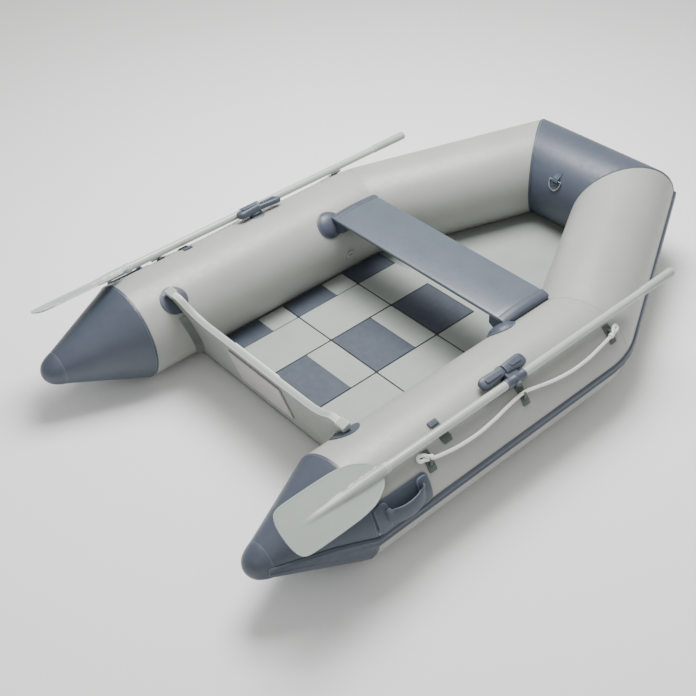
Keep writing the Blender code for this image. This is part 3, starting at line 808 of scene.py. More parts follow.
@dataclass
class Hull:
    """The air chambers with their tail cones, seam tapes, strakes, floor skin and towing ring.

    bend is the station where a tube turns in, blend how far the turn is eased on each side, corner
    the bow's corner on the tube's line, gap the air in a seam and lap the overlap beside it.
    """

    sides: int = 112
    bend: float = 1.1247
    blend: float = 0.05
    corner: tuple[float, float, float] = (0.2142, 1.8152, 0.2623)
    inward: float = 0.51
    upward: float = 0.119
    gap: float = 0.0003
    tape: float = 0.0007
    tape_half: float = 0.013
    lap: float = 0.009
    lap_start: float = 0.0010
    longest_run: float = 1.6
    run_cuts: int = 72
    bow_cuts: int = 36
    tail_length: float = 0.285
    tail_taper: float = 0.675
    strake_rise: float = 12.0
    strake_run: float = 0.22

    def line(self) -> list[Vector]:
        """Return the starboard tube's centre line, from the tail seam to the bow's corner."""
        start = Vector((SKIN.x, SKIN.seam_y, SKIN.z))
        turn = Vector((SKIN.x, SKIN.seam_y + self.bend, SKIN.z))
        corner = Vector((self.corner[0], SKIN.seam_y + self.corner[1], self.corner[2]))
        before = turn - (turn - start).normalized() * self.blend
        after = turn + (corner - turn).normalized() * self.blend
        eased = [before.lerp(turn, t).lerp(turn.lerp(after, t), t) for t in (0.0, 0.2, 0.4, 0.6, 0.8, 1.0)]
        return [start, *eased, corner]

    def planes(self) -> list[tuple[Vector, Vector, Vector]]:
        """Return each corner of the line with the run up to it and the normal of its mitre."""
        line = self.line()
        found = []
        for i in range(len(line) - 1):
            run = (line[i + 1] - line[i]).normalized()
            last = i + 2 >= len(line)
            following = Vector((-1.0, 0.0, 0.0)) if last else (line[i + 2] - line[i + 1]).normalized()
            found.append((line[i + 1], run, (run + following).normalized()))
        return found

    def puckered(self, place: Vector) -> Vector:
        """Return a place on the tube drawn in a little beside the seams, in shallow gathers."""
        line = self.line()
        turn, corner = line[3].lerp(line[4], 0.5), line[-1]
        run = (corner - turn).normalized()
        ahead = (place - turn).dot((Vector((0.0, 1.0, 0.0)) + run).normalized())
        if ahead < 0.0:
            foot = Vector((SKIN.x, place.y, SKIN.z))
        else:
            foot = turn + run * (place - turn).dot(run)
        out = place - foot
        angle = math.atan2(out.z, out.x)
        mitre = (run + Vector((-1.0, 0.0, 0.0))).normalized()
        to_bow = (place - corner).dot(mitre)
        to_tail = place.y - SKIN.seam_y
        fine = folds(angle, 37.0, 1.5, 5.0)
        pull = (
            drawn_in(ahead, 0.022, 0.0017, 0.25, folds(angle, 23.0, 2.0, 3.0))
            + drawn_in(to_bow, 0.028, 0.0010, 0.3, fine)
            + drawn_in(to_tail, 0.020, 0.0008, 0.4, fine)
        )
        return place - out.normalized() * pull

    def chamber(self, side: Side) -> None:
        """Build a side tube, and the tapes over its bend and at both of its ends."""
        tube = begun(
            bpy.ops.mesh.primitive_circle_add, f"{side.word}_side_tube", vertices=self.sides,
            radius=SKIN.radius, location=(SKIN.x, SKIN.seam_y + self.gap, SKIN.z),
            rotation=(math.pi / 2.0, 0.0, 0.0), fill_type="NOTHING",
        )
        edit(tube)
        bpy.ops.mesh.select_all(action="SELECT")
        for place, run, normal in self.planes():
            bpy.ops.mesh.extrude_region_move(
                TRANSFORM_OT_translate={"value": tuple(run * self.longest_run)}
            )
            bpy.ops.mesh.select_all(action="SELECT")
            bpy.ops.mesh.bisect(
                plane_co=tuple(place - run * self.gap), plane_no=tuple(normal), clear_outer=True,
                use_fill=False,
            )
        pick(tube, Kind.EDGE, lambda e: e.calc_length() > 0.2)
        bpy.ops.mesh.subdivide(number_cuts=self.run_cuts)
        leave()
        self.lay_round(tube)
        reshape(tube, self.puckered)
        edit(tube)
        for at_bow in (False, True):
            pick(tube, Kind.EDGE, lambda e: e.is_boundary and (e.verts[0].co.y > 0.3) == at_bow)
            bpy.ops.mesh.edge_face_add()
        leave()
        facing_out(tube)
        self.tapes(tube, side)
        settle(tube, "hull", LIGHT_FABRIC, side, [f"{side.word}_tube"])

    def tapes(self, tube: bpy.types.Object, side: Side) -> None:
        """Lay the tapes over a tube's seams, each cut from a copy of the tube's own skin.

        Args:
            tube: the closed tube, before it is settled.
            side: the side it belongs on.
        """
        corner, _, mitre = self.planes()[-1]
        turn, _, across = self.planes()[3]
        ahead = Vector((0.0, 1.0, 0.0))
        start = Vector((0.0, SKIN.seam_y, 0.0))
        half, near_edge, far_edge = self.tape_half, self.lap_start, self.lap
        tapes = (
            ("bend_tape", turn - across * half, turn + across * half, across, LIGHT_FABRIC),
            ("bow_lap", corner - mitre * far_edge, corner - mitre * near_edge, mitre, NAVY_FABRIC),
            ("tail_lap", start + ahead * near_edge, start + ahead * far_edge, ahead, NAVY_FABRIC),
        )
        for word, near, far, normal, finish in tapes:
            strip = tube.copy()
            strip.data = tube.data.copy()
            bpy.context.collection.objects.link(strip)
            strip.name = strip.data.name = f"{side.word}_{word}"
            edit(strip)
            for place, outer in ((near, False), (far, True)):
                bpy.ops.mesh.select_all(action="SELECT")
                bpy.ops.mesh.bisect(
                    plane_co=tuple(place), plane_no=tuple(normal), clear_outer=outer, clear_inner=not outer,
                    use_fill=False,
                )
            leave()
            modify(strip, "SOLIDIFY", thickness=self.tape, offset=1.0)
            settle(strip, "hull", finish, side, smooth=50.0)

    def lay_round(self, tube: bpy.types.Object) -> None:
        """Give a side tube its cloth coordinates, forward along it and round its girth."""
        layer = tube.data.uv_layers.get(CLOTH) or tube.data.uv_layers.new(name=CLOTH)
        for face in tube.data.polygons:
            spots = [tube.data.vertices[i].co for i in face.vertices]
            girths = []
            for spot in spots:
                bow_side = max(0.0, spot.y - (SKIN.seam_y + self.bend))
                x = SKIN.x - self.inward * bow_side
                z = SKIN.z + self.upward * bow_side
                girths.append(math.atan2(spot.z - z, spot.x - x))
            if max(girths) - min(girths) > math.pi:
                girths = [g + 2.0 * math.pi if g < 0.0 else g for g in girths]
            for loop, spot, girth in zip(face.loop_indices, spots, girths):
                layer.data[loop].uv = (spot.y, girth * SKIN.radius)

    def bow(self) -> None:
        """Build the chamber across the bow, cut off on both mitres."""
        corner, _, mitre = self.planes()[-1]
        tube = begun(
            bpy.ops.mesh.primitive_cylinder_add, "bow_chamber", vertices=self.sides, radius=SKIN.radius,
            depth=1.4, location=(0.0, corner.y, corner.z), rotation=(0.0, math.pi / 2.0, 0.0),
            end_fill_type="NOTHING",
        )
        edit(tube)
        for sign in (1.0, -1.0):
            bpy.ops.mesh.select_all(action="SELECT")
            bpy.ops.mesh.bisect(
                plane_co=(sign * (corner.x - self.gap), corner.y, corner.z),
                plane_no=(-sign * mitre.x, -mitre.y, -mitre.z), clear_outer=True, use_fill=False,
            )
            bpy.ops.mesh.edge_face_add()
        pick(
            tube, Kind.EDGE,
            lambda e: abs((e.verts[0].co - e.verts[1].co).x) > 0.02 and len(e.link_faces) == 2,
        )
        bpy.ops.mesh.subdivide(number_cuts=self.bow_cuts)
        leave()

        def gathered(place: Vector) -> Vector:
            out = Vector((0.0, place.y - corner.y, place.z - corner.z))
            if out.length < 0.1:
                return place
            inside = -(Vector((abs(place.x), place.y, place.z)) - corner).dot(mitre)
            angle = math.atan2(out.z, out.y)
            pull = drawn_in(inside, 0.028, 0.0010, 0.3, folds(angle, 33.0, 1.7, 4.0))
            return place - out.normalized() * pull

        lay_cloth(tube, lambda p: (p.x, math.atan2(p.z - corner.z, p.y - corner.y) * SKIN.radius))
        reshape(tube, gathered)
        facing_out(tube)
        settle(tube, "hull", NAVY_FABRIC, nodes=["bow_tube"])

    def tail(self, side: Side) -> None:
        """Build a tail cone of fabric, with the moulded cap on its end."""
        turn = Matrix.Translation((SKIN.x, SKIN.seam_y, SKIN.z)) @ Matrix.Rotation(math.pi / 2.0, 4, "X")
        rings = (0.004, 0.02, 0.05, 0.1, 0.15, 0.2, 0.25, 0.284)
        slope = [(SKIN.radius - 0.0005, self.gap)]
        slope += [(SKIN.radius * (1.0 - self.tail_taper * s / self.tail_length), s) for s in rings]
        cone = put(turned(f"{side.word}_tail_cone", slope, self.sides), turn)
        lay_cloth(cone, lambda p: (p.y, math.atan2(p.z - SKIN.z, p.x - SKIN.x) * 0.12))
        settle(cone, "hull", NAVY_FABRIC, side, [f"{side.word}_cone"])
        nose = (
            (0.050, 0.2790), (0.0600, 0.2790), (0.0606, 0.2800), (0.0596, 0.2840), (0.0556, 0.2960),
            (0.0502, 0.3080), (0.0440, 0.3190), (0.0372, 0.3275), (0.0290, 0.3345), (0.0200, 0.3395),
            (0.0110, 0.3425), (0.0030, 0.3440),
        )
        cap = put(turned(f"{side.word}_tail_cap", nose, 72), turn)
        settle(cap, "hull", NAVY_RUBBER, side)

    def skin(self) -> None:
        """Build the floor skin with its edges eased and its cloth laid flat."""
        sheet = from_node("bottom_skin", "floor_skin")
        ease(sheet, 0.0012, 2)
        reach, bow = 0.012, max(v.co.y for v in sheet.data.vertices) - 0.004
        reshape(sheet, lambda p: p + Vector((math.copysign(reach, p.x), reach if p.y > bow else 0.0, 0.0)))
        lay_cloth(sheet, lambda p: (p.x, p.y))
        settle(sheet, "hull", FLOOR_LIGHT, nodes=["bottom_skin"])

    def strake(self, node: str) -> None:
        """Build a rubbing strake with its ridges rounded, turned up a little along the cone."""
        strake = from_node(node, f"{node}_moulding")
        rise = math.radians(self.strake_rise)

        def risen(place: Vector) -> Vector:
            turn = rise * min(1.0, max(0.0, (SKIN.seam_y - place.y) / self.strake_run))
            across, up = abs(place.x) - SKIN.x, place.z - SKIN.z
            wide = SKIN.x + across * math.cos(turn) - up * math.sin(turn)
            high = SKIN.z + across * math.sin(turn) + up * math.cos(turn)
            return Vector((math.copysign(wide, place.x), place.y, high)) if turn > 0.0 else place

        reshape(strake, risen)
        ease(strake, 0.0013, 3, 18.0)
        settle(strake, "hull", NAVY_RUBBER, nodes=[node], smooth=50.0)

    def build(self) -> None:
        """Build the whole hull."""
        for side in Side:
            self.chamber(side)
            self.tail(side)
            self.strake(f"{side.word}_rub_strake")
        self.bow()
        self.skin()
        self.strake("bow_rub_strake")
        dress_node("bow_ring", STEEL)
        strap = from_node("bow_ring_strap", "towing_strap")
        lay_cloth(strap, lambda p: (p.x, p.z))
        settle(strap, "hull", NAVY_WEBBING, nodes=["bow_ring_strap"])


@dataclass
class Floor:
    """Nine boards in fabric pockets, with the two tones of fabric welded on in blocks.

    A row is its name, its two stations and the stations of its dark blocks. A column is its name
    and its two edges. joint is the gap between boards, rim how far a cover stays back from the
    middle of a joint, ply the fabric's thickness and seam_x the inboard edge of the port blocks.
    """

    rows: tuple[tuple[str, float, float, float, float], ...] = (
        ("aft", 0.244, 0.590, 0.324, 0.468),
        ("middle", 0.590, 0.895, 0.592, 0.785),
        ("forward", 0.895, 1.100, 0.900, 1.090),
    )
    columns: tuple[tuple[str, float, float], ...] = (
        ("port", -0.425, -0.140), ("centre", -0.140, 0.105), ("starboard", 0.105, 0.425),
    )
    joint: float = 0.004
    rim: float = 0.0030
    inset: float = 0.0002
    welt_depth: float = 0.012
    first_dark: float = 0.285
    shortest: float = 0.02
    top: float = 0.060
    ply: float = 0.0011
    seam_x: float = -0.327

    def cover(self, name: str, x: tuple[float, float], stations: tuple[float, float], finish: Finish) -> None:
        """Lay one block of pocket fabric on the boards.

        Args:
            name: the piece's name.
            x: its two edges across the boat.
            stations: its two edges along the boat.
            finish: its fabric.
        """
        width, length = x[1] - x[0], stations[1] - stations[0]
        if length < self.shortest:
            return
        patch = sheet_cut(name, width, length, 0.004, self.ply, 0.0004)
        middle = Vector(((x[0] + x[1]) / 2.0, SKIN.seam_y + sum(stations) / 2.0, self.top))
        put(patch, Matrix.Translation(middle))
        lay_cloth(patch, lambda p: (p.x, p.y))
        settle(patch, "hull", finish)

    def welt(self, name: str, x: tuple[float, float], y: tuple[float, float]) -> None:
        """Sink a dark strip into the gap between two boards, as painted shade in the joint.

        Args:
            name: the piece's name.
            x: its two sides across the boat.
            y: its two ends along the boat.
        """
        low = (x[0], y[0], self.top - self.welt_depth)
        welt = block(name, low, (x[1], y[1], self.top - 0.001))
        ease(welt, 0.0005, 2)
        lay_cloth(welt, lambda p: (p.x, p.y))
        settle(welt, "hull", JOINT_SHADE)

    def welts(self) -> None:
        """Build the dark painted shade strips along and across the floor's joints."""
        half = self.joint / 2.0
        slim = half - self.inset
        near, far = SKIN.seam_y + self.rows[0][1] + 0.006, SKIN.seam_y + self.rows[-1][2] - 0.006
        for i, x in enumerate(self.columns[1][1:]):
            self.welt(f"floor_welt_lengthwise_{i}", (x - slim, x + slim), (near, far))
        for i, row in enumerate(self.rows[:-1]):
            y = SKIN.seam_y + row[2]
            for column, left, right in self.columns:
                ends = (left + half + 0.001, right - half - 0.001)
                self.welt(f"floor_welt_across_{i}_{column}", ends, (y - slim, y + slim))

    def covers(
        self, row: tuple[str, float, float, float, float], column: tuple[str, float, float]
    ) -> None:
        """Lay the fabric of one board, in one tone or in blocks of two.

        Args:
            row: the board's row.
            column: the board's column.
        """
        row_name, near, far, dark_near, dark_far = row
        column_name, left, right = column
        name = f"floor_cover_{row_name}_{column_name}"
        ends = (near + self.rim, far - self.rim)
        if column_name == "starboard":
            self.cover(name, (left + self.rim, right - self.rim), ends, FLOOR_LIGHT)
            return
        to_port = column_name == "port"
        dark_right = self.seam_x if to_port else right
        start = max(dark_near, ends[0])
        if to_port and row_name == "aft":
            start = self.first_dark
        dark = (start, min(dark_far, ends[1]))
        edges = (left + self.rim, dark_right - self.rim)
        self.cover(f"{name}_dark", edges, dark, FLOOR_DARK)
        self.cover(f"{name}_behind", edges, (ends[0], dark[0] - 0.0010), FLOOR_LIGHT)
        self.cover(f"{name}_ahead", edges, (dark[1] + 0.0010, ends[1]), FLOOR_LIGHT)
        if to_port:
            inboard = (self.seam_x + 0.0008, right - self.rim)
            self.cover(f"{name}_inboard", inboard, ends, FLOOR_LIGHT)

    def build(self) -> None:
        """Build the painted shade strips in the joints, and every board with its covers."""
        self.welts()
        for row in self.rows:
            for column in self.columns:
                place = f"{row[0]}_{column[0]}"
                board = from_node(f"floor_slat_{place}", f"floor_board_{place}")
                ease(board, 0.0022, 3)
                lay_cloth(board, lambda p: (p.x, p.y))
                # The boards are coloured dark as painted shade, seen only in the gaps between covers.
                settle(board, "hull", BOARD_SHADE, nodes=[f"floor_slat_{place}"])
                self.covers(row, column)


@dataclass
class Transom:
    """The raked board, its capping, its motor pads, its beds on the tubes and its two patches."""

    station: float = 0.140
    top: float = 0.300
    rake: float = 0.31
    thickness: float = 0.0225
    # Half of the board's upper edge, from the ear to the middle, as X and Z.
    edge: tuple[tuple[float, float], ...] = (
        (0.440, 0.352), (0.402, 0.352), (0.387, 0.345), (0.372, 0.334), (0.350, 0.320),
        (0.325, 0.309), (0.296, 0.301), (0.265, 0.2965), (0.180, 0.2965), (0.0, 0.2965),
    )
    pad_lift: float = 0.0105
    patch_station: float = 0.142
    patch_angle: float = 131.0

    def matrix(self) -> Matrix:
        """Return the turn from a board drawn in X and Y, aft face on Z = 0, to its place."""
        up = Vector((0.0, -self.rake, 1.0)).normalized()
        across = Vector((1.0, 0.0, 0.0))
        aft = across.cross(up)
        made = Matrix((across, up, aft)).transposed().to_4x4()
        made.translation = Vector((0.0, SKIN.seam_y + self.station, self.top))
        return made

    def capping(self) -> None:
        """Run a strip of moulded trim along the board's upper edge."""
        stretch = math.hypot(1.0, self.rake)
        outline = [*self.edge, *((-x, z) for x, z in reversed(self.edge[:-1]))]
        places = [Vector((x, (z - self.top) * stretch + 0.0006, 0.0)) for x, z in outline]
        depth = self.thickness / stretch
        ring = []
        for i, place in enumerate(places):
            before, after = places[max(i - 1, 0)], places[min(i + 1, len(places) - 1)]
            run = (after - before).normalized()
            ring.append((place, Vector((run.y, -run.x, 0.0))))
        strip = begun(
            bpy.ops.mesh.primitive_grid_add, "transom_capping", x_subdivisions=len(ring) - 1,
            y_subdivisions=6, size=1.0,
        )
        order = sorted({round(v.co.x, 5) for v in strip.data.vertices})

        def bent(place: Vector) -> Vector:
            spot, up = ring[order.index(round(place.x, 5))]
            across = place.y * (depth + 0.0012)
            crown = 0.0018 * (1.0 - (2.0 * place.y) ** 2)
            up = up if up.y > 0.0 else -up
            return spot + up * (crown + 0.0004) + Vector((0.0, 0.0, across - depth / 2.0))

        reshape(strip, bent)
        modify(strip, "SOLIDIFY", thickness=0.0014, offset=0.0)
        facing_out(strip)
        put(strip, self.matrix())
        settle(strip, "hull", TRANSOM_TRIM, smooth=60.0)

    def build(self) -> None:
        """Build the transom."""
        board = from_node("transom_board", "transom_panel")
        ease(board, 0.0035, 4, 30.0)
        settle(board, "hull", TRANSOM_PAINT, nodes=["transom_board"])
        lift = Vector((0.0, -self.pad_lift * self.rake, self.pad_lift))
        for node, name, rise, finish in (
            ("outer_motor_pad", "motor_pad_aft", Vector(), MOTOR_PAD),
            ("inner_motor_pad", "motor_pad_inboard", lift, INNER_PAD),
        ):
            pad = from_node(node, name)
            reshape(pad, lambda p: p + rise if p.z > 0.28 else p)
            ease(pad, 0.0020, 3)
            settle(pad, "hull", finish, nodes=[node])
        self.capping()
        for side in Side:
            ear = block(
                f"{side.word}_ear_cap", (0.430, 0.040, -0.0275), (0.4685, 0.0590, 0.0050), (3, 2, 3)
            )
            ease(ear, 0.0030, 4)
            put(ear, self.matrix())
            settle(ear, "hull", TRANSOM_TRIM, side)
            bed = from_node(f"{Side.STARBOARD.word}_transom_holder", f"{side.word}_transom_bed")
            ease(bed, 0.0012, 2, 30.0)
            settle(bed, "hull", EDGE_RUBBER, side, [f"{side.word}_transom_holder"])
            rim = (
                (0.0040, 0.0), (0.030, 0.0), (0.0515, 0.0), (0.0520, 0.0008), (0.0515, 0.0020),
                (0.0490, 0.0026), (0.0460, 0.0021), (0.040, 0.0022), (0.030, 0.0022), (0.020, 0.0023),
                (0.010, 0.0023), (0.0040, 0.0023),
            )
            patch = turned(f"{side.word}_transom_disc", rim, 64)
            lay_cloth(patch, lambda p: (p.x, p.y))
            SKIN.wrap(patch, self.patch_station, self.patch_angle)
            settle(patch, "hull", NAVY_FABRIC, side, [f"{side.word}_transom_patch"])


@dataclass
class Seat:
    """The bench: a crowned board, a moulding on each of its ends and the domed mounts under it.

    crown is how far the after edge drops below the middle, ahead the forward edge's share of that,
    and cap how far a moulding reaches in over the board.
    """

    near: float = 0.862
    far: float = 1.085
    half: float = 0.440
    top: float = 0.345
    board: float = 0.022
    crown: float = 0.0095
    ahead: float = 0.4
    cap: float = 0.028
    beyond: float = 0.009
    dome_station: float = 0.852
    dome_angle: float = 136.0

    def crowned(self, place: Vector) -> Vector:
        """Return a place on the board with its top crowned fore and aft."""
        middle = SKIN.seam_y + (self.near + self.far) / 2.0
        share = (place.y - middle) / ((self.far - self.near) / 2.0)
        if place.z > self.top - self.board / 2.0:
            place.z -= self.crown * share**2 * (1.0 if share < 0.0 else self.ahead)
        return place

    def plank(self) -> None:
        """Build the board itself."""
        low = (-self.half + self.cap - 0.002, SKIN.seam_y + self.near, self.top - self.board)
        high = (self.half - self.cap + 0.002, SKIN.seam_y + self.far, self.top - 0.0004)
        plank = block("seat_plank", low, high, (30, 18, 0))
        reshape(plank, self.crowned)
        ease(plank, 0.0050, 5, 50.0)
        settle(plank, "seat", SEAT_COAT, nodes=["seat_board"], smooth=50.0)

    def ends(self, side: Side) -> None:
        """Build the moulded end that curls down over the board's edge."""
        low = (self.half - self.cap, SKIN.seam_y + self.near - 0.0012, self.top - self.board - 0.0010)
        high = (self.half + self.beyond, SKIN.seam_y + self.far + 0.0012, self.top + 0.0006)
        end = block(f"seat_end_{side.word}", low, high, (10, 18, 0))
        reshape(end, self.crowned)

        def curled(place: Vector) -> Vector:
            across = (place.x - (self.half - self.cap)) / (self.cap + self.beyond)
            share = max(0.0, across - 0.25) / 0.75
            place.z -= 0.0085 * share**2
            place.x -= 0.0020 * share
            return place

        reshape(end, curled)
        ease(end, 0.0040, 4, 50.0)
        settle(end, "seat", NAVY_RUBBER, side, smooth=50.0)

    def mount(self, side: Side) -> None:
        """Build the dome bonded to the tube with the web that takes the board's end."""
        web = from_node(f"{Side.STARBOARD.word}_seat_mount", f"{side.word}_seat_web")
        # The web under the board's end takes the darker rubber as painted shade.
        settle(web, "hull", SHADED_RUBBER, side, [f"{side.word}_seat_mount"], smooth=30.0)
        dome = (
            (0.0040, 0.0), (0.030, 0.0), (0.0520, 0.0), (0.0535, 0.0010), (0.0530, 0.0030),
            (0.0508, 0.0042), (0.0480, 0.0052), (0.0450, 0.0078), (0.0410, 0.0105), (0.0360, 0.0132),
            (0.0300, 0.0155), (0.0230, 0.0172), (0.0150, 0.0183), (0.0070, 0.0188), (0.0015, 0.0189),
        )
        cup = turned(f"{side.word}_seat_dome", dome, 64)
        lay_cloth(cup, lambda p: (p.x, p.y))
        SKIN.wrap(cup, self.dome_station, self.dome_angle)
        settle(cup, "hull", NAVY_RUBBER, side)

    def build(self) -> None:
        """Build the seat and its mounts."""
        self.plank()
        for side in Side:
            self.ends(side)
            self.mount(side)


@dataclass
class Oar:
    """An oar and the swivelling rowlock that it lies in, stowed along its tube.

    The oar's axis runs at a radius and an angle round the tube's own line. Its outline is the
    blade's half width at each station, rows and columns how finely it is divided, and bolt_angle
    which way the sleeve's bolt points.
    """

    radius: float = 0.206
    angle: float = 59.4
    shaft: float = 0.014
    pin_station: float = 0.652
    pin_angle: float = 71.0
    bolt_angle: float = -22.0
    top: float = 0.110
    tip: float = -0.274
    rows: int = 140
    columns: int = 44
    outline: tuple[tuple[float, float], ...] = (
        (0.110, 0.0162), (0.090, 0.0163), (0.080, 0.0190), (0.074, 0.0300), (0.062, 0.0425),
        (0.046, 0.0520), (0.025, 0.0630), (0.005, 0.0700), (-0.030, 0.0757), (-0.060, 0.0780),
        (-0.120, 0.0790), (-0.180, 0.0790), (-0.222, 0.0782), (-0.236, 0.0770), (-0.247, 0.0745),
        (-0.256, 0.0700), (-0.2615, 0.0640), (-0.2660, 0.0550), (-0.2700, 0.0430), (-0.2725, 0.0300),
        (-0.2740, 0.0140),
    )

    def turned_along(
        self, name: str, profile: Sequence[tuple[float, float]], segments: int = 40
    ) -> bpy.types.Object:
        """Turn a piece whose axis is the oar's, from radii and stations."""
        piece = turned(name, profile, segments)
        x, z = (SKIN.place(0.0, self.angle, self.radius - SKIN.radius)[i] for i in (0, 2))
        turn = Matrix.Translation((x, SKIN.seam_y, z)) @ Matrix.Rotation(-math.pi / 2.0, 4, "X")
        put(piece, turn)
        lay_cloth(piece, lambda p: (p.y, p.z))
        return piece

    def half_width(self, station: float) -> float:
        """Return the blade's half width at a station."""
        for (high, wide), (low, narrow) in zip(self.outline, self.outline[1:]):
            if station >= low:
                return wide + (narrow - wide) * (high - station) / (high - low)
        return self.outline[-1][1]

    def blade(self, side: Side) -> None:
        """Build the flat blade with the spine that runs out along it."""
        blade = begun(
            bpy.ops.mesh.primitive_grid_add, f"{side.word}_blade", x_subdivisions=self.rows,
            y_subdivisions=self.columns, size=1.0,
        )

        def spread(place: Vector) -> Vector:
            share = place.x + 0.5
            station = self.tip + (self.top - self.tip) * share**1.5
            way = 2.0 * place.y
            across = math.copysign(abs(way) ** 0.85, way) * self.half_width(station)
            return Vector((station, across, 0.0))

        reshape(blade, spread)
        modify(blade, "SOLIDIFY", thickness=0.0040, offset=0.0, use_even_offset=False)

        def ribbed(place: Vector) -> Vector:
            height = 0.0156 * min(1.0, max(0.0, (place.x + 0.246) / 0.28)) ** 0.85
            width = 0.0045 + 0.0118 * min(1.0, max(0.0, (place.x + 0.25) / 0.27))
            swell = height * math.sqrt(max(0.0, 1.0 - (place.y / width) ** 2))
            inside = self.half_width(place.x) - abs(place.y) - 0.002
            rim = 0.0008 * math.exp(-((inside / 0.002) ** 2)) if place.x < 0.06 else 0.0
            place.z = math.copysign(max(abs(place.z) + rim, swell), place.z)
            return place

        reshape(blade, ribbed)
        ease(blade, 0.0012, 3, 60.0)
        SKIN.stood(blade, 0.0, self.angle, self.radius - SKIN.radius)
        settle(blade, f"{side.word}_oar", OAR_PLASTIC, side, [f"{side.word}_oar_blade"], smooth=50.0)

    def loom(self, side: Side) -> None:
        """Build the shaft with its socket rim, and the grip."""
        shaft = self.turned_along(f"{side.word}_loom", ((self.shaft, 0.1103), (self.shaft, 1.3017)))
        settle(shaft, f"{side.word}_oar", SHAFT_ALUMINIUM, side, [f"{side.word}_oar_shaft"])
        socket = self.turned_along(f"{side.word}_blade_socket", (
            (0.0146, 0.092), (0.0168, 0.094), (0.0170, 0.104), (0.0168, 0.1115), (0.0155, 0.1130),
            (0.0143, 0.1132),
        ))
        settle(socket, f"{side.word}_oar", OAR_PLASTIC, side)
        grip = [(0.0140, 1.3003), (0.0157, 1.3012), (0.0162, 1.3040), (0.0158, 1.3080)]
        ridges = 9
        for i in range(ridges):
            start = 1.316 + i * 0.0150
            low = 0.0150 + 0.0011 * i / (ridges - 1)
            high = low + 0.0006
            grip += [(low, start), (high, start + 0.003), (high, start + 0.009), (low, start + 0.012)]
        grip += [(0.0164, 1.4560), (0.0163, 1.4620), (0.0150, 1.4665), (0.0120, 1.4685), (0.0040, 1.4690)]
        handle = self.turned_along(f"{side.word}_hand_grip", grip)
        settle(handle, f"{side.word}_oar", OAR_PLASTIC, side, [f"{side.word}_oar_grip"])

    def pod(
        self, name: str, far: float, near: float, middle: float, width: tuple[float, float],
        height: tuple[float, float],
    ) -> bpy.types.Object:
        """Build a moulded lobe that is round at its free end and narrows towards the pin.

        Args:
            name: the piece's name.
            far: where its free end lies along the tube from the pin.
            near: where its end by the pin lies.
            middle: the height of its middle over the skin.
            width: its half width at its fullest and by the pin.
            height: its half height at its fullest and by the pin.

        Returns:
            The lobe, still at the origin.
        """
        steps = 30
        shares = [1.0 - math.cos(0.5 * math.pi * i / steps) for i in range(steps + 1)]
        path = [Vector((far + (near - far) * t, 0.0, middle - 0.0040 * (1.0 - t) ** 2)) for t in shares]

        def section(i: int, turn: float) -> tuple[float, float]:
            t = shares[i]
            nose = (1.0 - (1.0 - min(1.0, (t + 0.012) / 0.30)) ** 2.5) ** 0.4
            square = (abs(math.cos(turn)) ** 3.2 + abs(math.sin(turn)) ** 3.2) ** (-1.0 / 3.2)
            wide = (width[0] + (width[1] - width[0]) * t**1.4) * nose
            tall = (height[0] + (height[1] - height[0]) * t**1.4) * nose**0.8
            return tall * square, wide * square

        return along_path(name, path, section, Vector((0.0, 0.0, 1.0)), 40)

    def rowlock(self, side: Side) -> None:
        """Build the swivelling head. The port one is the same moulding turned end for end."""
        word = side.word
        aft = self.pod(
            f"{word}_rowlock_aft_pod", -0.116, -0.008, 0.0270, (0.0222, 0.0150), (0.0125, 0.0110)
        )
        ahead = self.pod(
            f"{word}_rowlock_forward_pod", 0.080, -0.014, 0.0300, (0.0238, 0.0175), (0.0155, 0.0145)
        )
        rib = sheet_cut(f"{word}_rowlock_rib", 0.0660, 0.0170, 0.0060, 0.0030, 0.0011)
        put(rib, Matrix.Translation((-0.0640, -0.0010, 0.0380)))
        notch = sheet_cut(f"{word}_rowlock_flat", 0.0480, 0.0200, 0.0080, 0.0030, 0.0011)
        put(notch, Matrix.Translation((0.0340, 0.0020, 0.0442)))
        yoke = block(f"{word}_rowlock_yoke", (-0.024, -0.040, 0.0156), (0.026, -0.012, 0.0350), (2, 2, 0))
        ease(yoke, 0.0050, 4)
        hub = turned(f"{word}_rowlock_hub", (
            (0.0140, 0.0156), (0.0150, 0.0162), (0.0150, 0.0185), (0.0140, 0.0192), (0.0120, 0.0200),
        ), 48)
        for piece, nodes in (
            (aft, [f"{word}_rowlock_head"]), (ahead, []), (rib, []), (notch, []), (yoke, []), (hub, []),
        ):
            if side is Side.PORT:
                reshape(piece, lambda p: Vector((-p.x, p.y, p.z)))
                facing_out(piece)
            SKIN.stood(piece, self.pin_station, self.pin_angle)
            settle(piece, f"{word}_oar", NAVY_RUBBER, side, nodes, smooth=45.0)

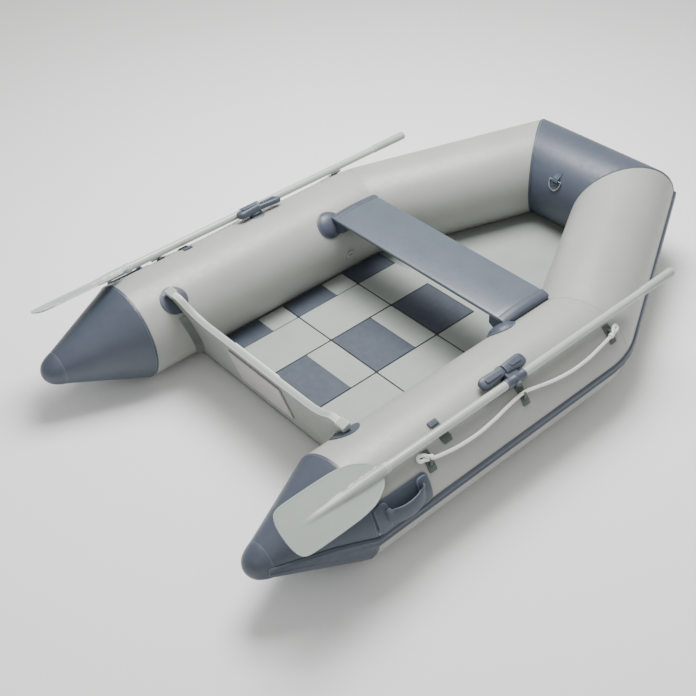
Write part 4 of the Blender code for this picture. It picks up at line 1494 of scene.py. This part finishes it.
    def sleeve(self, side: Side) -> None:
        """Build the sleeve round the shaft and the bolt through it."""
        word, body = side.word, f"{side.word}_oar"
        sleeve = self.turned_along(f"{word}_oar_sleeve", (
            (0.0142, 0.6120), (0.0166, 0.6122), (0.0172, 0.6135), (0.0172, 0.6175), (0.0170, 0.6190),
            (0.0168, 0.6200), (0.0168, 0.6480), (0.0172, 0.6490), (0.0172, 0.6540), (0.0168, 0.6550),
            (0.0168, 0.6870), (0.0170, 0.6880), (0.0172, 0.6895), (0.0172, 0.6935), (0.0166, 0.6948),
            (0.0142, 0.6950),
        ))
        settle(sleeve, body, NAVY_RUBBER, side, [f"{word}_oar_collar"])
        boss = turned(f"{word}_sleeve_boss", (
            (0.0110, 0.0150), (0.0110, 0.0222), (0.0103, 0.0236), (0.0085, 0.0238), (0.0080, 0.0224),
        ), 36)
        bolt = turned(f"{word}_sleeve_bolt", (
            (0.0068, 0.0220), (0.0068, 0.0228), (0.0056, 0.0234), (0.0054, 0.0262), (0.0042, 0.0272),
            (0.0010, 0.0274),
        ), 24)
        axis = SKIN.place(self.pin_station, self.angle, self.radius - SKIN.radius)
        lean = math.radians(self.bolt_angle)
        way = Vector((math.cos(lean), 0.0, math.sin(lean)))
        turn = way.to_track_quat("Z", "Y").to_matrix().to_4x4()
        for piece, finish in ((boss, NAVY_RUBBER), (bolt, DARK_RUBBER)):
            put(piece, Matrix.Translation(axis) @ turn)
            settle(piece, body, finish, side)

    def build(self) -> None:
        """Build both oars with their rowlocks."""
        for side in Side:
            self.blade(side)
            self.loom(side)
            self.rowlock(side)
            self.sleeve(side)
            dress_node(f"{side.word}_rowlock_base", NAVY_RUBBER)
            dress_node(f"{side.word}_rowlock_saddle", OAR_PLASTIC)


@dataclass
class GrabLine:
    """The rope along each tube, its end loops and the straps and patches that it runs through.

    The route is the part's own: a station, an angle round the tube and a height over its skin.
    rope is the rope's radius, strands how many cross in its braid and lay the length of a turn.
    """

    rope: float = 0.006
    route: tuple[tuple[float, float, float], ...] = (
        (0.226, 47.0, 0.0105), (0.250, 44.5, 0.0110), (0.300, 41.0, 0.0080), (0.370, 38.2, 0.0075),
        (0.450, 37.6, 0.0075), (0.530, 39.8, 0.0075), (0.600, 43.0, 0.0080), (0.664, 44.8, 0.0110),
        (0.725, 41.5, 0.0080), (0.800, 37.0, 0.0075), (0.880, 34.4, 0.0075), (0.960, 34.8, 0.0075),
        (1.030, 37.6, 0.0080), (1.098, 41.2, 0.0110), (1.122, 43.0, 0.0105),
    )
    stations: tuple[float, float, float] = (0.250, 0.664, 1.098)
    strands: int = 8
    lay: float = 0.020
    patch_angle: float = 42.6
    tab_angle: float = 49.9
    pad_angle: float = 35.1

    @staticmethod
    def eased(places: Sequence[Vector], steps: int) -> list[Vector]:
        """Return a smooth curve through places.

        Args:
            places: what it runs through.
            steps: how many points it has for each stretch.

        Returns:
            The curve's points.
        """
        padded = [places[0] * 2.0 - places[1], *places, places[-1] * 2.0 - places[-2]]
        curve = []
        for i in range(1, len(padded) - 2):
            a, b, c, d = padded[i - 1 : i + 3]
            for step in range(steps):
                t = step / steps
                curve.append(
                    0.5 * (b * 2.0 + (c - a) * t + (a * 2.0 - b * 5.0 + c * 4.0 - d) * t**2
                           + (b * 3.0 - a - c * 3.0 + d) * t**3)
                )
        curve.append(places[-1])
        return curve

    def braid(self, name: str, path: Sequence[Vector]) -> bpy.types.Object:
        """Build a braided rope along a path, its strands crossing both ways round it."""
        runs = [0.0]
        for before, after in zip(path, path[1:]):
            runs.append(runs[-1] + (after - before).length)

        def strand(i: int, turn: float) -> tuple[float, float]:
            twist = 2.0 * math.pi * runs[i] / self.lay
            one = math.cos(self.strands / 2.0 * turn + twist)
            other = math.cos(self.strands / 2.0 * turn - twist)
            reach = self.rope * (0.955 + 0.06 * max(one, other))
            return reach, reach

        piece = along_path(name, path, strand, Vector((0.0, 0.0, 1.0)), 24)
        lay_cloth(piece, lambda p: (p.y, p.z))
        return piece

    def line(self, side: Side) -> None:
        """Build one side's rope with a loop at each end."""
        places = [SKIN.place(*spot) for spot in self.route]
        path = self.eased(places, 26)
        rope = self.braid(f"{side.word}_rope", path)
        parts = []
        for word, end, beyond in (("aft", 0, -1.0), ("forward", -1, 1.0)):
            station, angle, height = self.route[end]
            spots = [
                (station - beyond * 0.034, angle - 2.2, height + 0.0030),
                (station - beyond * 0.022, angle + 0.2, height + 0.0050),
                (station - beyond * 0.009, angle + 3.4, height + 0.0040),
                (station + beyond * 0.003, angle + 4.6, height + 0.0010),
                (station + beyond * 0.0105, angle + 3.4, height - 0.0010),
                (station + beyond * 0.0110, angle + 1.0, height - 0.0010),
                (station + beyond * 0.005, angle - 0.3, height - 0.0004),
                (station - beyond * 0.002, angle - 0.2, height),
            ]
            loop = self.braid(f"{side.word}_rope_loop_{word}", self.eased([SKIN.place(*s) for s in spots], 8))
            clamp = turned(f"{side.word}_rope_clamp_{word}", (
                (0.0080, -0.0060), (0.0094, -0.0050), (0.0098, 0.0), (0.0094, 0.0050), (0.0080, 0.0060),
            ), 32)
            place = SKIN.place(station - beyond * 0.030, angle - 1.8, height + 0.0022)
            ahead = SKIN.place(station - beyond * 0.040, angle - 2.9, height + 0.0020)
            turn = (ahead - place).to_track_quat("Z", "Y").to_matrix().to_4x4()
            put(clamp, Matrix.Translation(place) @ turn)
            parts += [
                settle(loop, "hull", WHITE_ROPE, side, smooth=70.0),
                settle(clamp, "hull", WHITE_ROPE, side, smooth=70.0),
            ]
        settle(rope, "hull", WHITE_ROPE, side, [f"{side.word}_grab_line"], smooth=70.0)

    def patches(self, side: Side) -> None:
        """Build the webbing straps and patches at the rope's three stations."""
        for place, station in zip(("aft", "middle", "forward"), self.stations):
            name = f"{side.word}_line_{place}"
            base = sheet_cut(f"{name}_base", 0.0310, 0.0680, 0.0030, 0.0014)
            SKIN.wrap(base, station, self.patch_angle)
            settle(base, "hull", DARK_WEBBING, side, [f"{side.word}_line_patch_{place}"])
            for word, angle, size, finish in (
                ("tab", self.tab_angle, 0.0235, DARK_WEBBING), ("pad", self.pad_angle, 0.0215, DARK_RUBBER),
            ):
                tab = sheet_cut(f"{name}_{word}", 0.0295, size, 0.0035, 0.0036, 0.0010)
                SKIN.wrap(tab, station, angle)
                settle(tab, "hull", finish, side)
            rim = sheet_cut(f"{name}_frame", 0.0185, 0.0125, 0.0025, 0.0048, 0.0008)
            SKIN.wrap(rim, station, self.pad_angle)
            settle(rim, "hull", DARK_WEBBING, side)
            arch = ((49.5, 0.0042), (46.8, 0.0100), (43.8, 0.0178), (40.8, 0.0118), (38.2, 0.0042))
            hoop = along_path(
                f"{name}_hoop", self.eased([SKIN.place(station, *spot) for spot in arch], 6),
                lambda i, turn: (0.0055, 0.0011), Vector((0.0, 1.0, 0.0)), 14,
            )
            lay_cloth(hoop, lambda p: (p.y, p.z))
            settle(hoop, "hull", DARK_WEBBING, side, smooth=60.0)

    def build(self) -> None:
        """Build both lines."""
        for side in Side:
            self.line(side)
            self.patches(side)


@dataclass
class Fittings:
    """What is bonded to the tubes besides: oar holders, carry handles and valves."""

    holder_station: float = 0.338
    holder_angle: float = 60.5
    strap_angle: float = 51.6
    handle_station: float = 0.1160
    plate_angle: float = 22.6
    grip_station: float = 0.119
    grip_reach: float = 0.070
    grip_steps: int = 44
    handle_angle: float = 26.0
    valve_station: float = 0.903
    valve_angle: float = 183.5

    def holder(self, side: Side) -> None:
        """Build the tab and strap that the stowed oar is tied to."""
        word = side.word
        base = sheet_cut(f"{word}_holder_base", 0.033, 0.068, 0.004, 0.0016)
        SKIN.wrap(base, self.holder_station, self.holder_angle)
        settle(base, "hull", DARK_WEBBING, side, [f"{word}_oar_holder"])
        tab = sheet_cut(f"{word}_holder_tab", 0.0345, 0.0190, 0.0030, 0.0062, 0.0016)
        SKIN.wrap(tab, self.holder_station - 0.004, 70.0)
        settle(tab, "hull", NAVY_RUBBER, side)
        for i, (long, wide, thick) in enumerate((
            (0.0340, 0.0310, 0.0036), (0.0350, 0.0090, 0.0058), (0.0100, 0.0300, 0.0050),
        )):
            pad = sheet_cut(f"{word}_holder_pad_{i}", long, wide, 0.0030, thick, 0.0009)
            SKIN.wrap(pad, self.holder_station + 0.004, self.strap_angle)
            settle(pad, "hull", DARK_RUBBER if i else DARK_WEBBING, side)

    def handle(self, side: Side) -> None:
        """Build the moulded handle: a rimmed plate, a sunk panel and the bowed grip over it."""
        word = side.word
        plate = sheet_cut(f"{word}_handle_plate", 0.2170, 0.1040, 0.0240, 0.0034, 0.0014)
        SKIN.wrap(plate, self.handle_station, self.plate_angle)
        settle(plate, "hull", NAVY_RUBBER, side, [f"{word}_carry_handle"], smooth=50.0)
        feet = ((-0.083, 0.0500, 0.0860, 0.0085), (0.081, 0.0470, 0.0840, 0.0100))
        for i, (x, long, wide, thick) in enumerate(feet):
            foot = sheet_cut(f"{word}_handle_foot_{i}", long, wide, 0.0160, thick, 0.0036)
            SKIN.wrap(foot, self.handle_station + x, 22.8)
            settle(foot, "hull", NAVY_RUBBER, side, smooth=50.0)
        # The sunk panel takes the darker rubber as painted shade.
        panel = sheet_cut(f"{word}_handle_panel", 0.1160, 0.0460, 0.0180, 0.0042, 0.0010)
        SKIN.wrap(panel, self.handle_station + 0.002, 29.6)
        settle(panel, "hull", SHADED_RUBBER, side, smooth=50.0)
        path, widths = [], []
        turn = math.radians(self.handle_angle)
        up = Vector((-math.sin(turn), 0.0, math.cos(turn)))
        out = Vector((math.cos(turn), 0.0, math.sin(turn)))
        for i in range(self.grip_steps + 1):
            sweep = math.pi * i / self.grip_steps
            bow = math.sin(sweep)
            station = self.grip_station + self.grip_reach * math.cos(sweep)
            path.append(
                SKIN.place(station, self.handle_angle)
                + up * (0.006 - 0.0310 * bow**0.8) + out * (0.0060 + 0.0185 * bow**0.7)
            )
            widths.append((0.0215 + 0.0030 * bow, 0.0066))
        lean = math.radians(self.handle_angle - 8.0)
        facing = Vector((-math.sin(lean), 0.0, math.cos(lean)))
        grip = along_path(f"{word}_handle_grip", path, lambda i, turn: widths[i], facing, 28)
        settle(grip, "hull", NAVY_RUBBER, side, smooth=60.0)

    def valve(self, side: Side) -> None:
        """Build the valve's flange with its rim, and the quarter-turn cap with its bar."""
        word = side.word
        flange = turned(f"{word}_valve_flange", (
            (0.0030, 0.0), (0.0160, 0.0), (0.0258, 0.0), (0.0262, 0.0006), (0.0256, 0.0020),
            (0.0240, 0.0031), (0.0215, 0.0034), (0.0205, 0.0030), (0.0195, 0.0034), (0.0188, 0.0034),
            (0.0150, 0.0032), (0.0030, 0.0032),
        ), 56)
        SKIN.wrap(flange, self.valve_station, self.valve_angle)
        settle(flange, "hull", VALVE_PLASTIC, side, [f"{word}_valve"])
        knurl = turned(f"{word}_valve_plug", (
            (0.0030, 0.0044), (0.0170, 0.0044), (0.0175, 0.0050), (0.0175, 0.0086), (0.0168, 0.0094),
            (0.0130, 0.0096), (0.0120, 0.0088), (0.0030, 0.0088),
        ), 56)
        bar = block(f"{word}_valve_bar", (-0.0135, -0.0026, 0.0080), (0.0135, 0.0026, 0.0135), (4, 0, 0))
        ease(bar, 0.0012, 3)
        for piece, nodes in ((knurl, [f"{word}_valve_cap"]), (bar, [])):
            SKIN.stood(piece, self.valve_station, self.valve_angle)
            settle(piece, f"{word}_cap", VALVE_PLASTIC, side, nodes)

    def build(self) -> None:
        """Build the fittings of both sides."""
        for side in Side:
            self.holder(side)
            self.handle(side)
            self.valve(side)


@dataclass
class Studio:
    """A pale floor, soft light from above and the camera."""

    place: tuple[float, float, float] = (2.2166, -2.1747, 2.6024)
    azimuth: float = 49.47
    elevation: float = 40.265
    roll: float = -0.0344
    lens: float = 55.65
    film: float = 36.0
    sky: float = 0.64

    def camera(self) -> None:
        """Set the camera up."""
        turn, rise = math.radians(self.azimuth), math.radians(self.elevation)
        back = Vector((math.sin(turn) * math.cos(rise), -math.cos(turn) * math.cos(rise), math.sin(rise)))
        right = Vector((math.cos(turn), math.sin(turn), 0.0))
        up = back.cross(right)
        c, s = math.cos(self.roll), math.sin(self.roll)
        matrix = Matrix((right * c + up * s, up * c - right * s, back)).transposed().to_4x4()
        matrix.translation = Vector(self.place)
        data = bpy.data.cameras.new("camera")
        data.lens = self.lens
        data.sensor_width = self.film
        made = bpy.data.objects.new("camera", data)
        made.matrix_world = matrix
        bpy.context.collection.objects.link(made)
        bpy.context.scene.camera = made

    def lamp(self, name: str, place: Vector, size: float, power: float) -> None:
        """Hang one square soft light, aimed at the boat.

        Args:
            name: the light's name.
            place: where it hangs.
            size: its side.
            power: its power in watts.
        """
        data = bpy.data.lights.new(name, "AREA")
        data.shape = "SQUARE"
        data.size = size
        data.energy = power
        made = bpy.data.objects.new(name, data)
        aim = place - Vector((0.0, 0.0, 0.2))
        turn = aim.to_track_quat("Z", "Y").to_matrix().to_4x4()
        made.matrix_world = Matrix.Translation(place) @ turn
        bpy.context.collection.objects.link(made)

    def build(self) -> None:
        """Build the lights, the world and the floor."""
        self.lamp("key", Vector((-0.75, 0.65, 3.45)), 2.0, 262.0)
        self.lamp("fill", Vector((1.6, -2.8, 2.6)), 2.4, 16.0)
        world = bpy.data.worlds.new("studio")
        bpy.context.scene.world = world
        world.use_nodes = True
        sky = world.node_tree.nodes["Background"]
        sky.inputs["Color"].default_value = linear("#f6f6f3")
        sky.inputs["Strength"].default_value = self.sky
        ground = begun(
            bpy.ops.mesh.primitive_plane_add, "studio_floor", size=60.0, location=(0.0, 0.0, -0.0005)
        )
        paper = bpy.data.materials.new("white_studio_paper")
        paper.use_nodes = True
        shader = paper.node_tree.nodes["Principled BSDF"]
        shader.inputs["Base Color"].default_value = linear("#f0f0f0")
        shader.inputs["Roughness"].default_value = 0.9
        ground.data.materials.append(paper)


def main() -> None:
    """Build the camera, the ropes and then every sub-assembly, and log each piece."""
    logging.basicConfig(level=logging.INFO, format="%(name)s: %(message)s")
    studio = Studio()
    studio.camera()
    for assembly in (GrabLine(), Hull(), Floor(), Transom(), Seat(), Oar(), Fittings()):
        log.info("building %s", type(assembly).__name__)
        assembly.build()
    studio.build()


if __name__ == "__main__":
    main()
